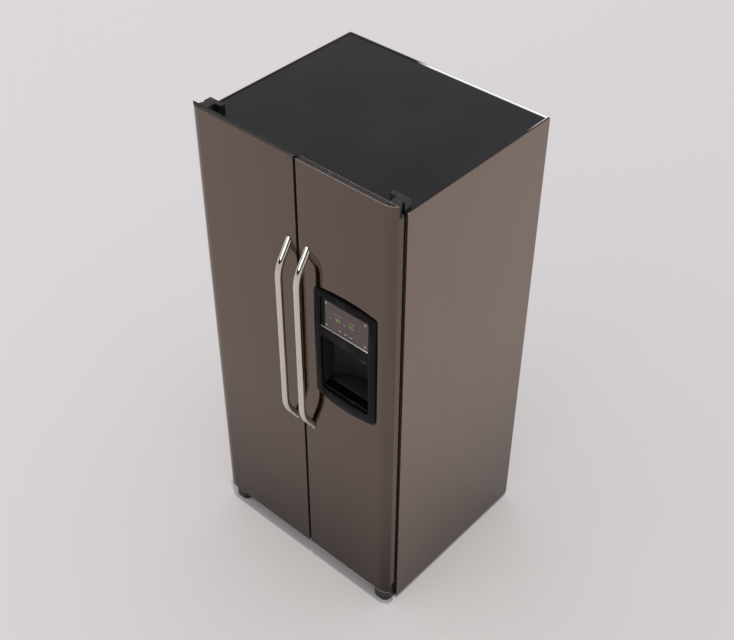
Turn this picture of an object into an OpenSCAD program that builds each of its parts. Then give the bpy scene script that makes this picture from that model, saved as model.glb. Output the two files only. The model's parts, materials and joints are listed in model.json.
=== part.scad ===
// Side by side refrigerator: a steel cabinet with a fresh-food side and a freezer side, two
// full-height doors on vertical pins, bow handles, and an ice and water dispenser in the
// freezer door. +Z is up, the doors face -Y, and the fresh-food side is at -X.

/* [Cabinet] */
// Width of the cabinet, and of the pair of doors
cabinet_w = 832; // [800:1:920]
// Height of the cabinet's top rim above the floor
cabinet_h = 1756; // [1720:1:1800]
// Depth of the cabinet behind its front plane
cabinet_d = 675; // [640:1:740]
// Height of the cabinet's lower edge above the floor
cabinet_lift = 14; // [12:1:18]
// Thickness of the folded steel sheet
sheet_t = 1; // [0.8:0.1:1.4]
// Width of the raised rim round the top panel
rim_w = 9; // [7:0.5:12]
// Width and height of the bevel along the top of the rim
rim_bevel = 4; // [2:0.5:6]
// Thickness of the painted front frame
front_t = 1.5; // [1:0.1:2]

/* [Compartments] */
// Insulated wall beside the fresh-food compartment
fresh_wall = 45; // [40:1:55]
// Insulated wall beside the freezer compartment
freezer_wall = 50; // [45:1:60]
// Width of the centre wall between the compartments
mullion_w = 55; // [50:1:64]
// Insulation above the compartments
top_wall = 50; // [42:1:60]
// Height of the compartment floors above the cabinet's floor level
floor_z = 130; // [126:1:150]
// Insulation behind the compartments
back_wall = 75; // [65:1:90]
// Thickness of the moulded liners
liner_t = 3; // [2:0.5:4]
// Depth from the front plane to the step over the machine space
step_y = 430; // [410:1:440]
// Height of the step over the machine space
step_z = 280; // [272:1:296]
// Width of the moulded ledges that carry shelves and drawers
ledge_w = 12; // [10:1:14]
// Clearance between a drawer and the liner beside it
drawer_side = 6; // [5.5:0.5:7]
// Height of the moulded ledges
ledge_h = 9; // [7:1:12]
// Depth from the front plane to the front of the shelves
shelf_y = 130; // [122:1:150]
// Height of the lowest fresh-food shelf above the floor
shelf_z0 = 560; // [556:1:600]
// Space over the top fresh-food shelf
shelf_top = 326; // [240:1:360]
// Height of the lowest freezer shelf above the floor
freezer_z0 = 590; // [560:1:620]
// Space over the freezer shelf that carries the ice bucket
bucket_top = 310; // [300:1:330]
// Thickness of the shelf frames
shelf_h = 14; // [12:1:18]
// Thickness of the shelf panes
pane_t = 4; // [3:0.5:5]
// Height of the ledge under the upper drawers
crisper_rail = 522; // [500:1:540]
// Height of the ledge under the lower drawers
lower_rail = 302; // [290:1:310]
// Height of the upper drawers
upper_drawer_h = 200; // [180:1:204]
// Height of the lower drawers
lower_drawer_h = 174; // [150:1:180]
// Depth from the front plane to the drawer fronts
drawer_y = 108; // [104:1:116]

/* [Doors] */
// Width of the freezer door
freezer_door_w = 378; // [350:1:400]
// Width of the gap between the doors
door_gap = 11; // [9:0.5:14]
// Distance from the cabinet's front plane to the doors' front faces
door_depth = 57.5; // [55:0.5:62]
// Thickness of the front slab of each door
slab_t = 20; // [18:0.5:22]
// Width of the swept-back outer edge of each door
sweep_w = 40; // [34:1:48]
// Height of the slab's top above the cabinet
slab_rise = 44; // [36:1:52]
// Height of the slab's lower edge above the floor
slab_z0 = 70; // [68:1:80]
// Height of the door body's lower edge above the floor
body_z0 = 112; // [110:1:120]
// Distance from the cabinet's front plane to the back of the door body
body_back = 18; // [17:0.5:20]
// Thickness of the moulded end caps of the doors
cap_t = 22; // [20:1:28]
// Depth that the end caps lie below the slab's edges
cap_recess = 2; // [1:0.5:4]
// Distance of the inner panel's face from the cabinet's front plane
liner_face = 10; // [9:0.5:11]
// Height of the door bins
bin_h = 86; // [70:1:100]
// Depth from the front plane to the back of the door bins
bin_y1 = 100; // [90:1:102]
// Height of the lowest fresh-food bin above the floor
left_bin_z0 = 600; // [560:1:640]
// Height of the lowest freezer bin above the floor
right_bin_z0 = 590; // [560:1:620]
// Height of the dairy compartment
dairy_h = 100; // [80:1:120]
// Clearance between the gasket and the front frame
gasket_gap = 0.3; // [0.2:0.1:0.4]
// Width of the gasket
gasket_w = 14; // [12:0.5:16]

/* [Hinges] */
// Distance of the hinge pins in from the cabinet's sides
pin_inset = 20; // [19:0.5:23]
// Distance of the hinge pins in front of the cabinet
pin_front = 26; // [25.5:0.5:26.5]
// Radius of the hinge pins
pin_r = 5; // [4:0.5:5.5]
// Radial clearance of a pin or shaft that turns in a bore
fit = 0.06; // [0.03:0.01:0.1]
// Opening angle of the doors
door_swing = 110; // [100:1:112]
// Radius of the hinge cover round the pin
cover_r = 10.3; // [9.8:0.1:10.5]
// Height of the hinge covers above the cabinet
cover_h = 34; // [28:1:38]
// Wall of the hinge covers
cover_wall = 1.6; // [1.2:0.1:1.8]

/* [Handles] */
// Distance of each handle from the edge of its door
handle_inset = 33.5; // [30:0.5:40]
// Height of the middle of the handles above the floor
handle_z = 1104; // [1000:1:1200]
// Distance between the handles' two ends
handle_len = 748; // [600:1:800]
// Distance that each leg covers up the door
leg_rise = 114; // [100:1:130]
// Distance of the handle's centre line from the door
handle_out = 49.5; // [45:0.5:60]
// Radius of the handle's round tube
handle_r = 12; // [9:0.5:13]
// Bend radius of the handle
bend_r = 123; // [90:1:140]

/* [Dispenser] */
// Width of the dispenser's fascia
fascia_w = 256; // [250:1:262]
// Height of the middle of the fascia's lower edge
fascia_z0 = 906; // [900:1:915]
// Height of the middle of the fascia's top edge
fascia_z1 = 1369; // [1366:1:1380]
// Bow of the fascia's top edge
fascia_top_bow = 7; // [4:0.5:8]
// Bow of the fascia's lower edge
fascia_low_bow = 15; // [10:1:20]
// Radius of the fascia's two upper corners
fascia_top_corner = 10; // [6:1:20]
// Radius of the fascia's two lower corners
fascia_low_corner = 16; // [10:1:22]
// How far the middle of the fascia stands out of the door
fascia_out = 10.5; // [9:0.5:14]
// Bulge of the fascia's front across its width
fascia_bulge = 4.5; // [3:0.5:5.5]
// Bulge of the fascia's front over its height
fascia_crown = 2.5; // [1.5:0.5:3]
// Width of the dispensing well
well_w = 200; // [190:1:204]
// Height of the dispensing well's floor
well_z0 = 950; // [946:1:956]
// Height of the dispensing well's ceiling
well_z1 = 1183; // [1170:1:1186]
// Radius of the dispensing well's round back
well_r = 115; // [112:1:117]
// Width of the display window
window_w = 200; // [180:1:210]
// Height of the display window's lower edge
window_z0 = 1220; // [1214:1:1226]
// Height of the display window's top edge
window_z1 = 1339; // [1330:1:1342]
// Height of the ice maker
maker_h = 100; // [90:1:110]
// Width of the ice maker
maker_w = 118; // [100:1:130]
// Height of the lamp housing under the ceiling
lamp_h = 46; // [30:1:60]
// Outer radius of the ice chute
chute_r = 22; // [20:0.5:24]

/* [Running gear] */
// Height of the toe grille's top above the floor
grille_h = 96; // [80:1:100]
// Distance of the toe grille's ends from the cabinet's sides
grille_inset = 84; // [82:1:120]
// Width of each group of vent slots in the rear cover
vent_w = 100; // [60:1:110]
// Space between the groups of vent slots
vent_gap = 30; // [16:1:40]
// Radius of the rear rollers
roller_r = 17; // [16:0.5:18]
// Width of the rear rollers
roller_w = 20; // [16:1:24]
// Radius of the levelling legs' threaded stems
stem_r = 6; // [5:0.5:7]
// Radius of the levelling legs' pads
pad_r = 20; // [16:1:24]

/* [Hidden] */
$fn = 64;

eps = 0.01;
seat = 0.3;
half_w = cabinet_w / 2;
gap_x = half_w - freezer_door_w - door_gap / 2;
top_z = cabinet_h - sheet_t;

handle_front = door_depth + handle_out + handle_r;
mid_y = (cabinet_d - handle_front) / 2;

fresh_x0 = -half_w + fresh_wall;
fresh_x1 = gap_x - mullion_w / 2;
freezer_x0 = gap_x + mullion_w / 2;
freezer_x1 = half_w - freezer_wall;
room_z1 = cabinet_h - top_wall;
room_y1 = cabinet_d - back_wall;
deck_y = step_y + 22;
deck_z = step_z - 26;
back_y = cabinet_d - 2 * sheet_t;
cover_y = back_y - 17;

slab_y0 = -door_depth;
slab_y1 = slab_y0 + slab_t;
slab_z1 = cabinet_h + slab_rise;
sweep_r = (sweep_w * sweep_w + slab_t * slab_t) / (2 * slab_t);
body_y1 = -body_back;
liner_y1 = -liner_face;
pin_x = half_w - pin_inset;
pin_y = -pin_front;
slab_behind = pin_y - slab_y1;
tip_r = sqrt(pin_inset * pin_inset + slab_behind * slab_behind);
bracket_r = cover_r - cover_wall - seat;
cover_w = 54;
cover_d = 24;
bracket_y = pin_front + cover_d - 4;

// evenly spaced heights from the lowest to the highest
function spread(z0, z1, n) = [for (i = [0:n - 1]) z0 + i * (z1 - z0) / (n - 1)];
shelf_zs = spread(shelf_z0, room_z1 - shelf_top, 4);
bucket_shelf = room_z1 - bucket_top;
freezer_zs = spread(freezer_z0, bucket_shelf, 4);
shelf_y1 = room_y1 - 8;
evap_y = room_y1 - 40;
bin_wall = 2.5;
// how far a drawer stands above the ledge that carries it
drawer_rim = 10;
post_w = 12;
post_y1 = 25;

disp_x = (gap_x + door_gap / 2 + half_w) / 2;
well_cy = slab_y0 - 4.5;
housing_wall = 3;
fascia_mid = (fascia_z0 + fascia_z1) / 2;
cut_w = fascia_w - 26;
cut_z0 = fascia_z0 + 19;
cut_z1 = fascia_z1 - 9;
bulge_w = 2 * (well_r + housing_wall + 4);
bulge_y1 = well_cy + well_r + housing_wall + 6;
bulge_z0 = fascia_z0 - 1;
bulge_z1 = bucket_shelf;

roller_x = half_w - 56;
roller_y = cabinet_d - 65;
leg_x = half_w - 46;
leg_y = 34;
fan_x = -100;
fan_y = (deck_y + cover_y) / 2;
fan_z = 128;
compressor_x = roller_x - 110;
auger_z = bucket_shelf + 50;

// A block between two opposite corners
module box(a, b) {
  translate(a) cube([b[0] - a[0], b[1] - a[1], b[2] - a[2]]);
}

// Puts a piece in the part's own frame, whose origin is under the middle of the whole object
module in_frame() {
  translate([0, -mid_y, 0]) children();
}

// Children are drawn for the right-hand side, and mirrored for the left-hand side
module on_side(s) {
  if (s < 0) mirror([1, 0, 0]) children();
  else children();
}

// ---------- cabinet case ----------

module side_panel(s) {
  on_side(s) {
    // outer skin with the bevelled rim along its top
    translate([0, cabinet_d, 0]) rotate([90, 0, 0]) linear_extrude(cabinet_d)
      polygon([
        [half_w - sheet_t, cabinet_lift], [half_w, cabinet_lift],
        [half_w, cabinet_h - rim_bevel], [half_w - rim_bevel, cabinet_h],
        [half_w - rim_w, cabinet_h], [half_w - rim_w, top_z],
        [half_w - rim_bevel - sheet_t / 2, top_z],
        [half_w - sheet_t, cabinet_h - rim_bevel - sheet_t / 2]
      ]);
    // return flanges at the front and the back
    box([half_w - 19, 0, cabinet_lift], [half_w - sheet_t, sheet_t, cabinet_h - rim_bevel - 1]);
    box([half_w - 15, cabinet_d - sheet_t, cabinet_lift],
        [half_w - sheet_t, cabinet_d, cabinet_h - rim_bevel - 1]);
  }
}

module top_panel() color([0.17, 0.17, 0.18]) in_frame() {
  w = half_w - rim_bevel - 1;
  box([-w, 0, top_z - sheet_t], [w, back_y, top_z]);
  // stiffening lip that hangs behind the front frame
  box([-half_w + 24, front_t, top_z - 16], [half_w - 24, front_t + sheet_t, top_z - sheet_t]);
}

module back_panel() color([0.35, 0.35, 0.36]) in_frame() {
  w = half_w - sheet_t;
  box([-w, back_y, deck_z], [w, back_y + sheet_t, cabinet_h - rim_bevel - 1]);
  // rear rim over the top panel
  box([-half_w + rim_w, cabinet_d - rim_w, top_z], [half_w - rim_w, cabinet_d, cabinet_h]);
  box([-half_w + 15, back_y + sheet_t, cabinet_h - 40], [half_w - 15, cabinet_d, cabinet_h]);
}

module base_pan() color([0.3, 0.3, 0.31]) in_frame() {
  w = half_w - sheet_t;
  rail_h = 30;
  slot_x = roller_w / 2 + 2;
  difference() {
    union() {
      box([-w, 8, cabinet_lift], [w, back_y, cabinet_lift + 2]);
      // front beam
      for (y = [8, 58]) box([-w, y, cabinet_lift], [w, y + 2, cabinet_lift + rail_h]);
      // deck that closes the machine space off from the liners
      box([-w, deck_y, cabinet_lift], [w, deck_y + 2, deck_z]);
      box([-w, deck_y, deck_z - 2], [w, back_y, deck_z]);
      for (s = [-1, 1]) on_side(s) {
        translate([leg_x, leg_y, cabinet_lift]) cylinder(r = stem_r + 8, h = rail_h);
        for (c = [-slot_x - 3, slot_x])
          box([roller_x + c, roller_y - 24, roller_r - 7], [roller_x + c + 3, roller_y + 24, 42]);
      }
    }
    for (s = [-1, 1]) on_side(s) {
      translate([leg_x, leg_y, 0]) cylinder(r = stem_r + fit, h = 100);
      box([roller_x - slot_x, roller_y - roller_r - 3, cabinet_lift - 1],
          [roller_x + slot_x, roller_y + roller_r + 3, cabinet_lift + 3]);
    }
  }
  for (s = [-1, 1]) on_side(s)
    translate([roller_x - slot_x - 1, roller_y, roller_r]) rotate([0, 90, 0])
      cylinder(r = 4, h = 2 * slot_x + 2);
}

module front_frame() color([0.42, 0.39, 0.37]) in_frame() {
  w = half_w - 19;
  difference() {
    box([-w, 0, cabinet_lift + 30], [w, front_t, top_z - sheet_t]);
    box([fresh_x0, -1, floor_z], [fresh_x1, front_t + 1, room_z1]);
    box([freezer_x0, -1, floor_z], [freezer_x1, front_t + 1, room_z1]);
  }
}

// ---------- compartments ----------

// Liner of one compartment, with its front flange, its step and its ledges
module liner(x0, x1, flange0, flange1, rails) {
  difference() {
    union() {
      difference() {
        box([x0 - liner_t, front_t, floor_z - liner_t],
            [x1 + liner_t, room_y1 + liner_t, room_z1 + liner_t]);
        box([x0 - liner_t - 1, step_y + liner_t, 0],
            [x1 + liner_t + 1, cabinet_d, step_z - liner_t]);
      }
      box([x0 - flange0, front_t, floor_z - 20], [x1 + flange1, front_t + liner_t, room_z1 + 20]);
    }
    difference() {
      box([x0, -1, floor_z], [x1, room_y1, room_z1]);
      box([x0 - 1, step_y, 0], [x1 + 1, cabinet_d, step_z]);
    }
  }
  for (z = rails) {
    y1 = z < step_z + 40 ? step_y - 2 : evap_y - 12;
    box([x0 - eps, drawer_y + 16, z - ledge_h], [x0 + ledge_w, y1, z]);
    box([x1 - ledge_w, drawer_y + 16, z - ledge_h], [x1 + eps, y1, z]);
  }
}

module liner_fresh() color([0.9, 0.9, 0.9]) in_frame()
  liner(fresh_x0, fresh_x1, fresh_wall - 20, mullion_w / 2 - 1,
        concat(shelf_zs, [crisper_rail, lower_rail]));

module liner_freezer() color([0.9, 0.9, 0.9]) in_frame()
  liner(freezer_x0, freezer_x1, mullion_w / 2 - 1, freezer_wall - 20,
        concat(freezer_zs, [crisper_rail, lower_rail]));

module shelf_frames() color([0.85, 0.86, 0.87]) in_frame()
  for (z = shelf_zs) {
    x0 = fresh_x0 + 1.5;
    x1 = fresh_x1 - 1.5;
    difference() {
      box([x0, shelf_y, z], [x1, shelf_y1, z + shelf_h]);
      box([x0 + 22, shelf_y + 26, z - 1], [x1 - 22, shelf_y1 - 22, z + shelf_h + 1]);
      box([x0 + 12, shelf_y + 14, z + shelf_h - pane_t], [x1 - 12, shelf_y1 - 12, z + shelf_h + 1]);
    }
    // rounded front trim
    translate([x0, shelf_y, z + shelf_h / 2]) rotate([0, 90, 0])
      cylinder(r = shelf_h / 2, h = x1 - x0);
  }

module shelf_glass() color([0.7, 0.85, 0.85, 0.5]) in_frame()
  for (z = shelf_zs)
    box([fresh_x0 + 13.5 + seat, shelf_y + 14 + seat, z + shelf_h - pane_t],
        [fresh_x1 - 13.5 - seat, shelf_y1 - 12 - seat, z + shelf_h]);

// Open drawer of height h that hangs by its side lips on two ledges
module drawer(x0, x1, y1, h, rail, slots) {
  wall = 2.5;
  z1 = rail + drawer_rim;
  z0 = z1 - h;
  bx0 = x0 + ledge_w + 2;
  bx1 = x1 - ledge_w - 2;
  y0 = drawer_y;
  difference() {
    union() {
      box([bx0, y0 + 6, z0], [bx1, y1, z1]);
      box([x0 + drawer_side, y0 + 17, rail + seat], [x1 - drawer_side, y1, rail + seat + 4]);
      box([x0 + drawer_side, y0, z0], [x1 - drawer_side, y0 + 12, z1 + 6]);
    }
    box([bx0 + wall, y0 + 12, z0 + wall], [bx1 - wall, y1 - wall, z1 + 20]);
    // finger scoop along the top of the front
    translate([(x0 + x1) / 2 - 60, y0 - 2, z1 - 4]) rotate([0, 90, 0]) cylinder(r = 11, h = 120);
    if (slots)
      for (i = [0:5]) {
        pitch = (bx1 - bx0 - 40) / 6;
        box([bx0 + 20 + i * pitch, y0 - 1, z0 + 40], [bx0 + 20 + i * pitch + 14, y0 + 13, z1 - 50]);
      }
  }
}

module crisper_upper() color([0.82, 0.88, 0.9, 0.8]) in_frame()
  drawer(fresh_x0, fresh_x1, shelf_y1 - 20, upper_drawer_h, crisper_rail, false);

module crisper_lower() color([0.82, 0.88, 0.9, 0.8]) in_frame()
  drawer(fresh_x0, fresh_x1, step_y - 8, lower_drawer_h, lower_rail, false);

module freezer_basket_upper() color([0.88, 0.9, 0.92]) in_frame()
  drawer(freezer_x0, freezer_x1, evap_y - 16, upper_drawer_h, crisper_rail, true);

module freezer_basket_lower() color([0.88, 0.9, 0.92]) in_frame()
  drawer(freezer_x0, freezer_x1, step_y - 8, lower_drawer_h, lower_rail, true);

// Wire shelves on the freezer's ledges
module freezer_shelves() color([0.85, 0.85, 0.86]) in_frame()
  for (z = freezer_zs) {
    x0 = freezer_x0 + 5;
    x1 = freezer_x1 - 5;
    y0 = shelf_y;
    y1 = evap_y - 14;
    rod = 3;
    wire = 1.5;
    zc = z + rod + seat;
    for (x = [x0, x1]) translate([x, y0, zc]) rotate([-90, 0, 0]) cylinder(r = rod, h = y1 - y0);
    for (y = [y0, y1]) translate([x0, y, zc]) rotate([0, 90, 0]) cylinder(r = rod, h = x1 - x0);
    for (i = [1:9]) translate([x0 + i * (x1 - x0) / 10, y0, zc]) rotate([-90, 0, 0])
      cylinder(r = wire, h = y1 - y0);
  }

module evaporator_cover() color([0.8, 0.8, 0.82]) in_frame() {
  x0 = freezer_x0 + 1;
  x1 = freezer_x1 - 1;
  z1 = room_z1 - 4;
  difference() {
    box([x0, evap_y, step_z], [x1, room_y1, z1]);
    box([x0 + 2, evap_y + 3, step_z - 1], [x1 - 2, room_y1 + 1, z1 - 3]);
    // air outlets near the top and air returns near the bottom
    for (c = [0, 1]) translate([x0 + 30 + c * 130, evap_y - 1, 0]) {
      for (i = [0:3]) translate([0, 0, z1 - 60 - i * 18]) cube([110, 5, 8]);
      for (i = [0:4]) translate([0, 0, step_z + 300 + i * 14]) cube([110, 5, 7]);
    }
  }
  // gear motor that turns the auger
  translate([disp_x, evap_y, auger_z]) rotate([90, 0, 0]) cylinder(r = 30, h = 14);
}

module control_housing() color([0.92, 0.92, 0.92]) in_frame() {
  x0 = fresh_x0 + 50;
  x1 = fresh_x1 - 50;
  difference() {
    box([x0, 240, room_z1 - lamp_h], [x1, 460, room_z1]);
    box([x0 + 3, 243, room_z1 - lamp_h + 3], [x1 - 3, 457, room_z1 + 1]);
    for (i = [0:6]) translate([x0 + 40 + i * 28, 300, room_z1 - lamp_h - 1]) cube([16, 130, 5]);
  }
}

// ---------- ice system ----------

module ice_maker() color([0.75, 0.76, 0.78]) in_frame() {
  x0 = freezer_x0;
  z1 = room_z1 - 20;
  z0 = z1 - maker_h + 10;
  difference() {
    union() {
      box([x0, 190, z0], [x0 + maker_w, 470, z0 + 48]);
      box([x0, 470, z1 - maker_h], [x0 + maker_w, 520, z1]);
      box([x0, 190, z0 + 48], [x0 + 12, 470, z0 + 70]);
    }
    // crescent moulds
    for (i = [0:6]) translate([x0 + 64, 200 + i * 38, z0 + 56]) rotate([-90, 0, 0])
      cylinder(r = 40, h = 32);
  }
  // ejector shaft
  translate([x0 + 64, 186, z0 + 56]) rotate([-90, 0, 0]) cylinder(r = 5, h = 290);
  for (i = [0:6]) box([x0 + 64, 213 + i * 38, z0 + 54], [x0 + 100, 219 + i * 38, z0 + 58]);
}

bucket_z0 = bucket_shelf + 6 + 2 * seat;
module ice_bucket() color([0.86, 0.88, 0.9, 0.9]) in_frame() {
  x0 = freezer_x0 + 14;
  x1 = freezer_x1 - 14;
  y0 = shelf_y + 2;
  y1 = 520;
  nose = 38;
  z1 = bucket_shelf + 164;
  nose_z1 = auger_z + 46;
  difference() {
    union() {
      box([x0, y0, bucket_z0], [x1, y1, z1]);
      box([disp_x - nose, 14, bucket_z0], [disp_x + nose, y0 + 4, nose_z1]);
    }
    box([x0 + 3, y0 + 3, bucket_z0 + 3], [x1 - 3, y1 - 3, z1 + 1]);
    box([disp_x - nose + 3, 17, bucket_z0 + 3], [disp_x + nose - 3, y0 + 10, nose_z1 - 3]);
    translate([disp_x, 40, bucket_z0 - 1]) cylinder(r = 20, h = 8);
    translate([disp_x, 0, auger_z]) rotate([-90, 0, 0]) cylinder(r = 8 + fit, h = y1 + 10);
  }
}

module ice_auger() color([0.6, 0.61, 0.63]) in_frame() {
  translate([disp_x, 14, auger_z]) rotate([-90, 0, 0]) cylinder(r = 8, h = evap_y - 14 - 14 - seat);
  translate([disp_x, 24, auger_z]) rotate([-90, 0, 0])
    linear_extrude(height = 480, twist = -360 * 8, slices = 128, $fn = 4)
      translate([0, -2]) square([31, 4]);
}

// ---------- machine space ----------

module compressor() color([0.1, 0.1, 0.1]) in_frame() translate([compressor_x, fan_y, 0]) {
  z0 = cabinet_lift + 2;
  translate([0, 0, z0 + 12]) rotate_extrude() polygon([
    [0, 0], [62, 0], [74, 12], [76, 60], [79, 62], [79, 70], [76, 72], [74, 128], [60, 148],
    [30, 158], [0, 160]
  ]);
  for (x = [-78, 78]) box([x - 14, -70, z0 + 8], [x + 14, 70, z0 + 14]);
  box([-80, -50, z0 + 8], [80, 50, z0 + 14]);
  for (x = [-78, 78]) for (y = [-58, 58]) translate([x, y, z0]) cylinder(r = 10, h = 8);
  // suction and discharge stubs
  translate([0, 0, z0 + 110]) rotate([0, -90, 0]) cylinder(r = 5, h = 100);
  translate([0, 20, z0 + 90]) rotate([0, -90, 0]) cylinder(r = 4, h = 96);
}

module condenser() color([0.13, 0.13, 0.14]) in_frame() {
  x0 = -roller_x + roller_w / 2 + 34;
  x1 = fan_x - 40;
  z0 = cabinet_lift + 2;
  y0 = fan_y - 70;
  rows = 5;
  pitch = 35;
  // cooling fins on a tray
  for (i = [0:9]) {
    x = x0 + 20 + i * (x1 - x0 - 40) / 9;
    box([x - 0.5, y0 - 12, z0], [x + 0.5, y0 + 152, z0 + 190]);
  }
  box([x0, y0 - 16, z0], [x1, y0 + 156, z0 + 3]);
  // serpentine tube
  for (r = [0:rows - 1]) {
    z = z0 + 25 + r * pitch;
    for (y = [y0 + 35, y0 + 105]) translate([x0, y, z]) rotate([0, 90, 0]) cylinder(r = 4, h = x1 - x0);
    translate([x1, y0 + 70, z]) rotate([0, 0, -90]) rotate_extrude(angle = 180)
      translate([35, 0]) circle(r = 4);
    if (r < rows - 1)
      translate([x0, r % 2 == 0 ? y0 + 105 : y0 + 35, z + pitch / 2]) rotate([90, 0, 0]) rotate([0, 0, 90])
        rotate_extrude(angle = 180) translate([pitch / 2, 0]) circle(r = 4);
  }
}

module fan_shroud() color([0.16, 0.16, 0.17]) in_frame() translate([fan_x, fan_y, fan_z]) {
  difference() {
    box([0, -95, cabinet_lift + 2 - fan_z], [3, 95, 105]);
    translate([-1, 0, 0]) rotate([0, 90, 0]) cylinder(r = 80, h = 5);
  }
  difference() {
    union() {
      translate([34, 0, 0]) rotate([0, 90, 0]) cylinder(r = 26, h = 30);
      for (a = [45:90:315]) rotate([a, 0, 0]) {
        box([34, -4, 20], [38, 4, 92]);
        box([1, -4, 88], [38, 4, 92]);
      }
    }
    translate([30, 0, 0]) rotate([0, 90, 0]) cylinder(r = 4 + fit, h = 24);
  }
}

module fan_blade() color([0.3, 0.3, 0.32]) in_frame() translate([fan_x, fan_y, fan_z]) {
  translate([6, 0, 0]) rotate([0, 90, 0]) cylinder(r = 20, h = 22);
  translate([6, 0, 0]) rotate([0, 90, 0]) cylinder(r = 4, h = 44);
  intersection() {
    translate([5, 0, 0]) rotate([0, 90, 0]) cylinder(r = 74, h = 24);
    for (a = [0:72:288]) rotate([a, 0, 0]) translate([17, 0, 0]) rotate([0, 0, 35])
      box([-1, -24, 10], [1, 24, 80]);
  }
}

module compressor_cover() color([0.35, 0.35, 0.36]) in_frame() {
  w = half_w - sheet_t;
  difference() {
    box([-w, cover_y, cabinet_lift + 2], [w, cover_y + sheet_t, deck_z - 2]);
    // air slots behind the condenser and the fan
    for (i = [0:11]) for (c = [0:2])
      translate([-w + 55 + c * (vent_w + vent_gap), cover_y - 1, 50 + i * 14]) cube([vent_w, 3, 6]);
    for (p = [[gland_z, 9], [valve_z, 11]]) translate([fitting_x, cover_y - 1, p[0]])
      rotate([-90, 0, 0]) cylinder(r = p[1], h = 5);
  }
}

// Cable gland and water inlet valve, held in the rear cover
fitting_x = half_w - 86;
gland_z = 76;
valve_z = 200;
module service_fittings() color([0.12, 0.12, 0.12]) in_frame() {
  translate([fitting_x, cover_y, gland_z]) rotate([-90, 0, 0]) difference() {
    union() {
      translate([0, 0, sheet_t]) cylinder(r = 12, h = 6);
      translate([0, 0, -5]) cylinder(r = 9 - seat / 2, h = 8);
      translate([0, 0, -7]) cylinder(r = 12, h = 7);
    }
    translate([0, 0, -8]) cylinder(r = 4, h = 20);
  }
  translate([fitting_x, cover_y, valve_z]) rotate([-90, 0, 0]) difference() {
    union() {
      translate([0, 0, -40]) cylinder(r = 16, h = 40);
      translate([0, 0, -2]) cylinder(r = 11 - seat / 2, h = 17);
    }
    translate([0, 0, -20]) cylinder(r = 6, h = 40);
  }
}

// ---------- running gear and lower front ----------

module leveling_leg(s) {
  on_side(s) translate([leg_x, leg_y, 0]) {
    cylinder(r = pad_r, h = 5);
    translate([0, 0, 5]) cylinder(r = pad_r - 4, h = 4);
    cylinder(r = stem_r, h = cabinet_lift + 38);
  }
}

module rear_roller(s) {
  on_side(s) translate([roller_x, roller_y, roller_r]) rotate([0, 90, 0])
    difference() {
      union() {
        translate([0, 0, -roller_w / 2]) cylinder(r = roller_r, h = roller_w);
        translate([0, 0, -roller_w / 2 - 1.5]) cylinder(r = 8, h = roller_w + 3);
      }
      translate([0, 0, -50]) cylinder(r = 4 + fit, h = 100);
    }
}

module toe_grille() color([0.1, 0.1, 0.1]) in_frame() {
  w = half_w - grille_inset;
  difference() {
    box([-w, -16, 20], [w, 0, grille_h]);
    box([-w + 3, -13, 19], [w - 3, 1, grille_h - 3]);
    for (i = [0:4]) box([-w + 30, -17, 32 + i * 12], [w - 30, -12, 37 + i * 12]);
  }
}

// ---------- hinges ----------

// Plan of a hinge arm round the pin, relieved where the swinging slab's tip passes behind it
module hinge_arm(r, inner, back) {
  difference() {
    union() {
      circle(r = r);
      translate([-inner, -r]) square([inner, r + back]);
      square([r, back]);
    }
    intersection() {
      circle(r = tip_r + 0.8 + cover_r - r);
      rotate(door_swing - 90) translate([r + 0.5, -60]) square([60, 160]);
    }
  }
}

// Steel bracket on the cabinet top: a seat, a step up and the arm with the pin
module hinge_top(s) {
  on_side(s) translate([pin_x, pin_y, 0]) {
    difference() {
      union() {
        translate([0, 0, cabinet_h + 2]) linear_extrude(4) hinge_arm(bracket_r, 22, bracket_y);
        box([-50, pin_front + 8, top_z], [bracket_r, bracket_y, cabinet_h + 6]);
      }
      for (x = [-42, -8]) translate([x, pin_front + 14, top_z - 1]) cylinder(r = 2.6, h = 20);
    }
    translate([0, 0, cabinet_h - cap_t + 4]) cylinder(r = pin_r, h = cap_t);
  }
}

// Plan of the cover at radius r round the pin, with the wing along the cabinet's front
module hinge_cover_plan(r) {
  inset = cover_r - r;
  hinge_arm(r, r + 18, pin_front + cover_d - inset);
  translate([-cover_w + inset, pin_front + 6 + inset])
    square([cover_w - inset, cover_d - 6 - 2 * inset]);
}

module hinge_cover(s) {
  z1 = cabinet_h + cover_h;
  inner_r = cover_r - cover_wall;
  on_side(s) translate([pin_x, pin_y, 0]) difference() {
    translate([0, 0, top_z]) linear_extrude(z1 - top_z) hinge_cover_plan(cover_r);
    translate([0, 0, top_z - 1]) linear_extrude(z1 - top_z + 1 - cover_wall)
      hinge_cover_plan(inner_r);
    // over the door and the rim the cover stops short
    box([-60, -60, top_z - 1], [60, pin_front + 0.5, cabinet_h + 1.2]);
    box([half_w - rim_w - seat - pin_x, 0, top_z - 1], [60, 100, cabinet_h]);
  }
}

hinge_plate_z = body_z0 - 12;
module hinge_bottom(s) {
  on_side(s) translate([pin_x, pin_y, 0]) {
    translate([0, 0, hinge_plate_z]) linear_extrude(4) hinge_arm(bracket_r, 40, pin_front);
    box([-46, pin_front - 3, 40], [-8, pin_front, hinge_plate_z + 4]);
    translate([0, 0, hinge_plate_z]) cylinder(r = pin_r, h = 12 + cap_t - 4);
    translate([0, 0, hinge_plate_z]) cylinder(r = bracket_r, h = 12 - seat);
  }
}

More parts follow.
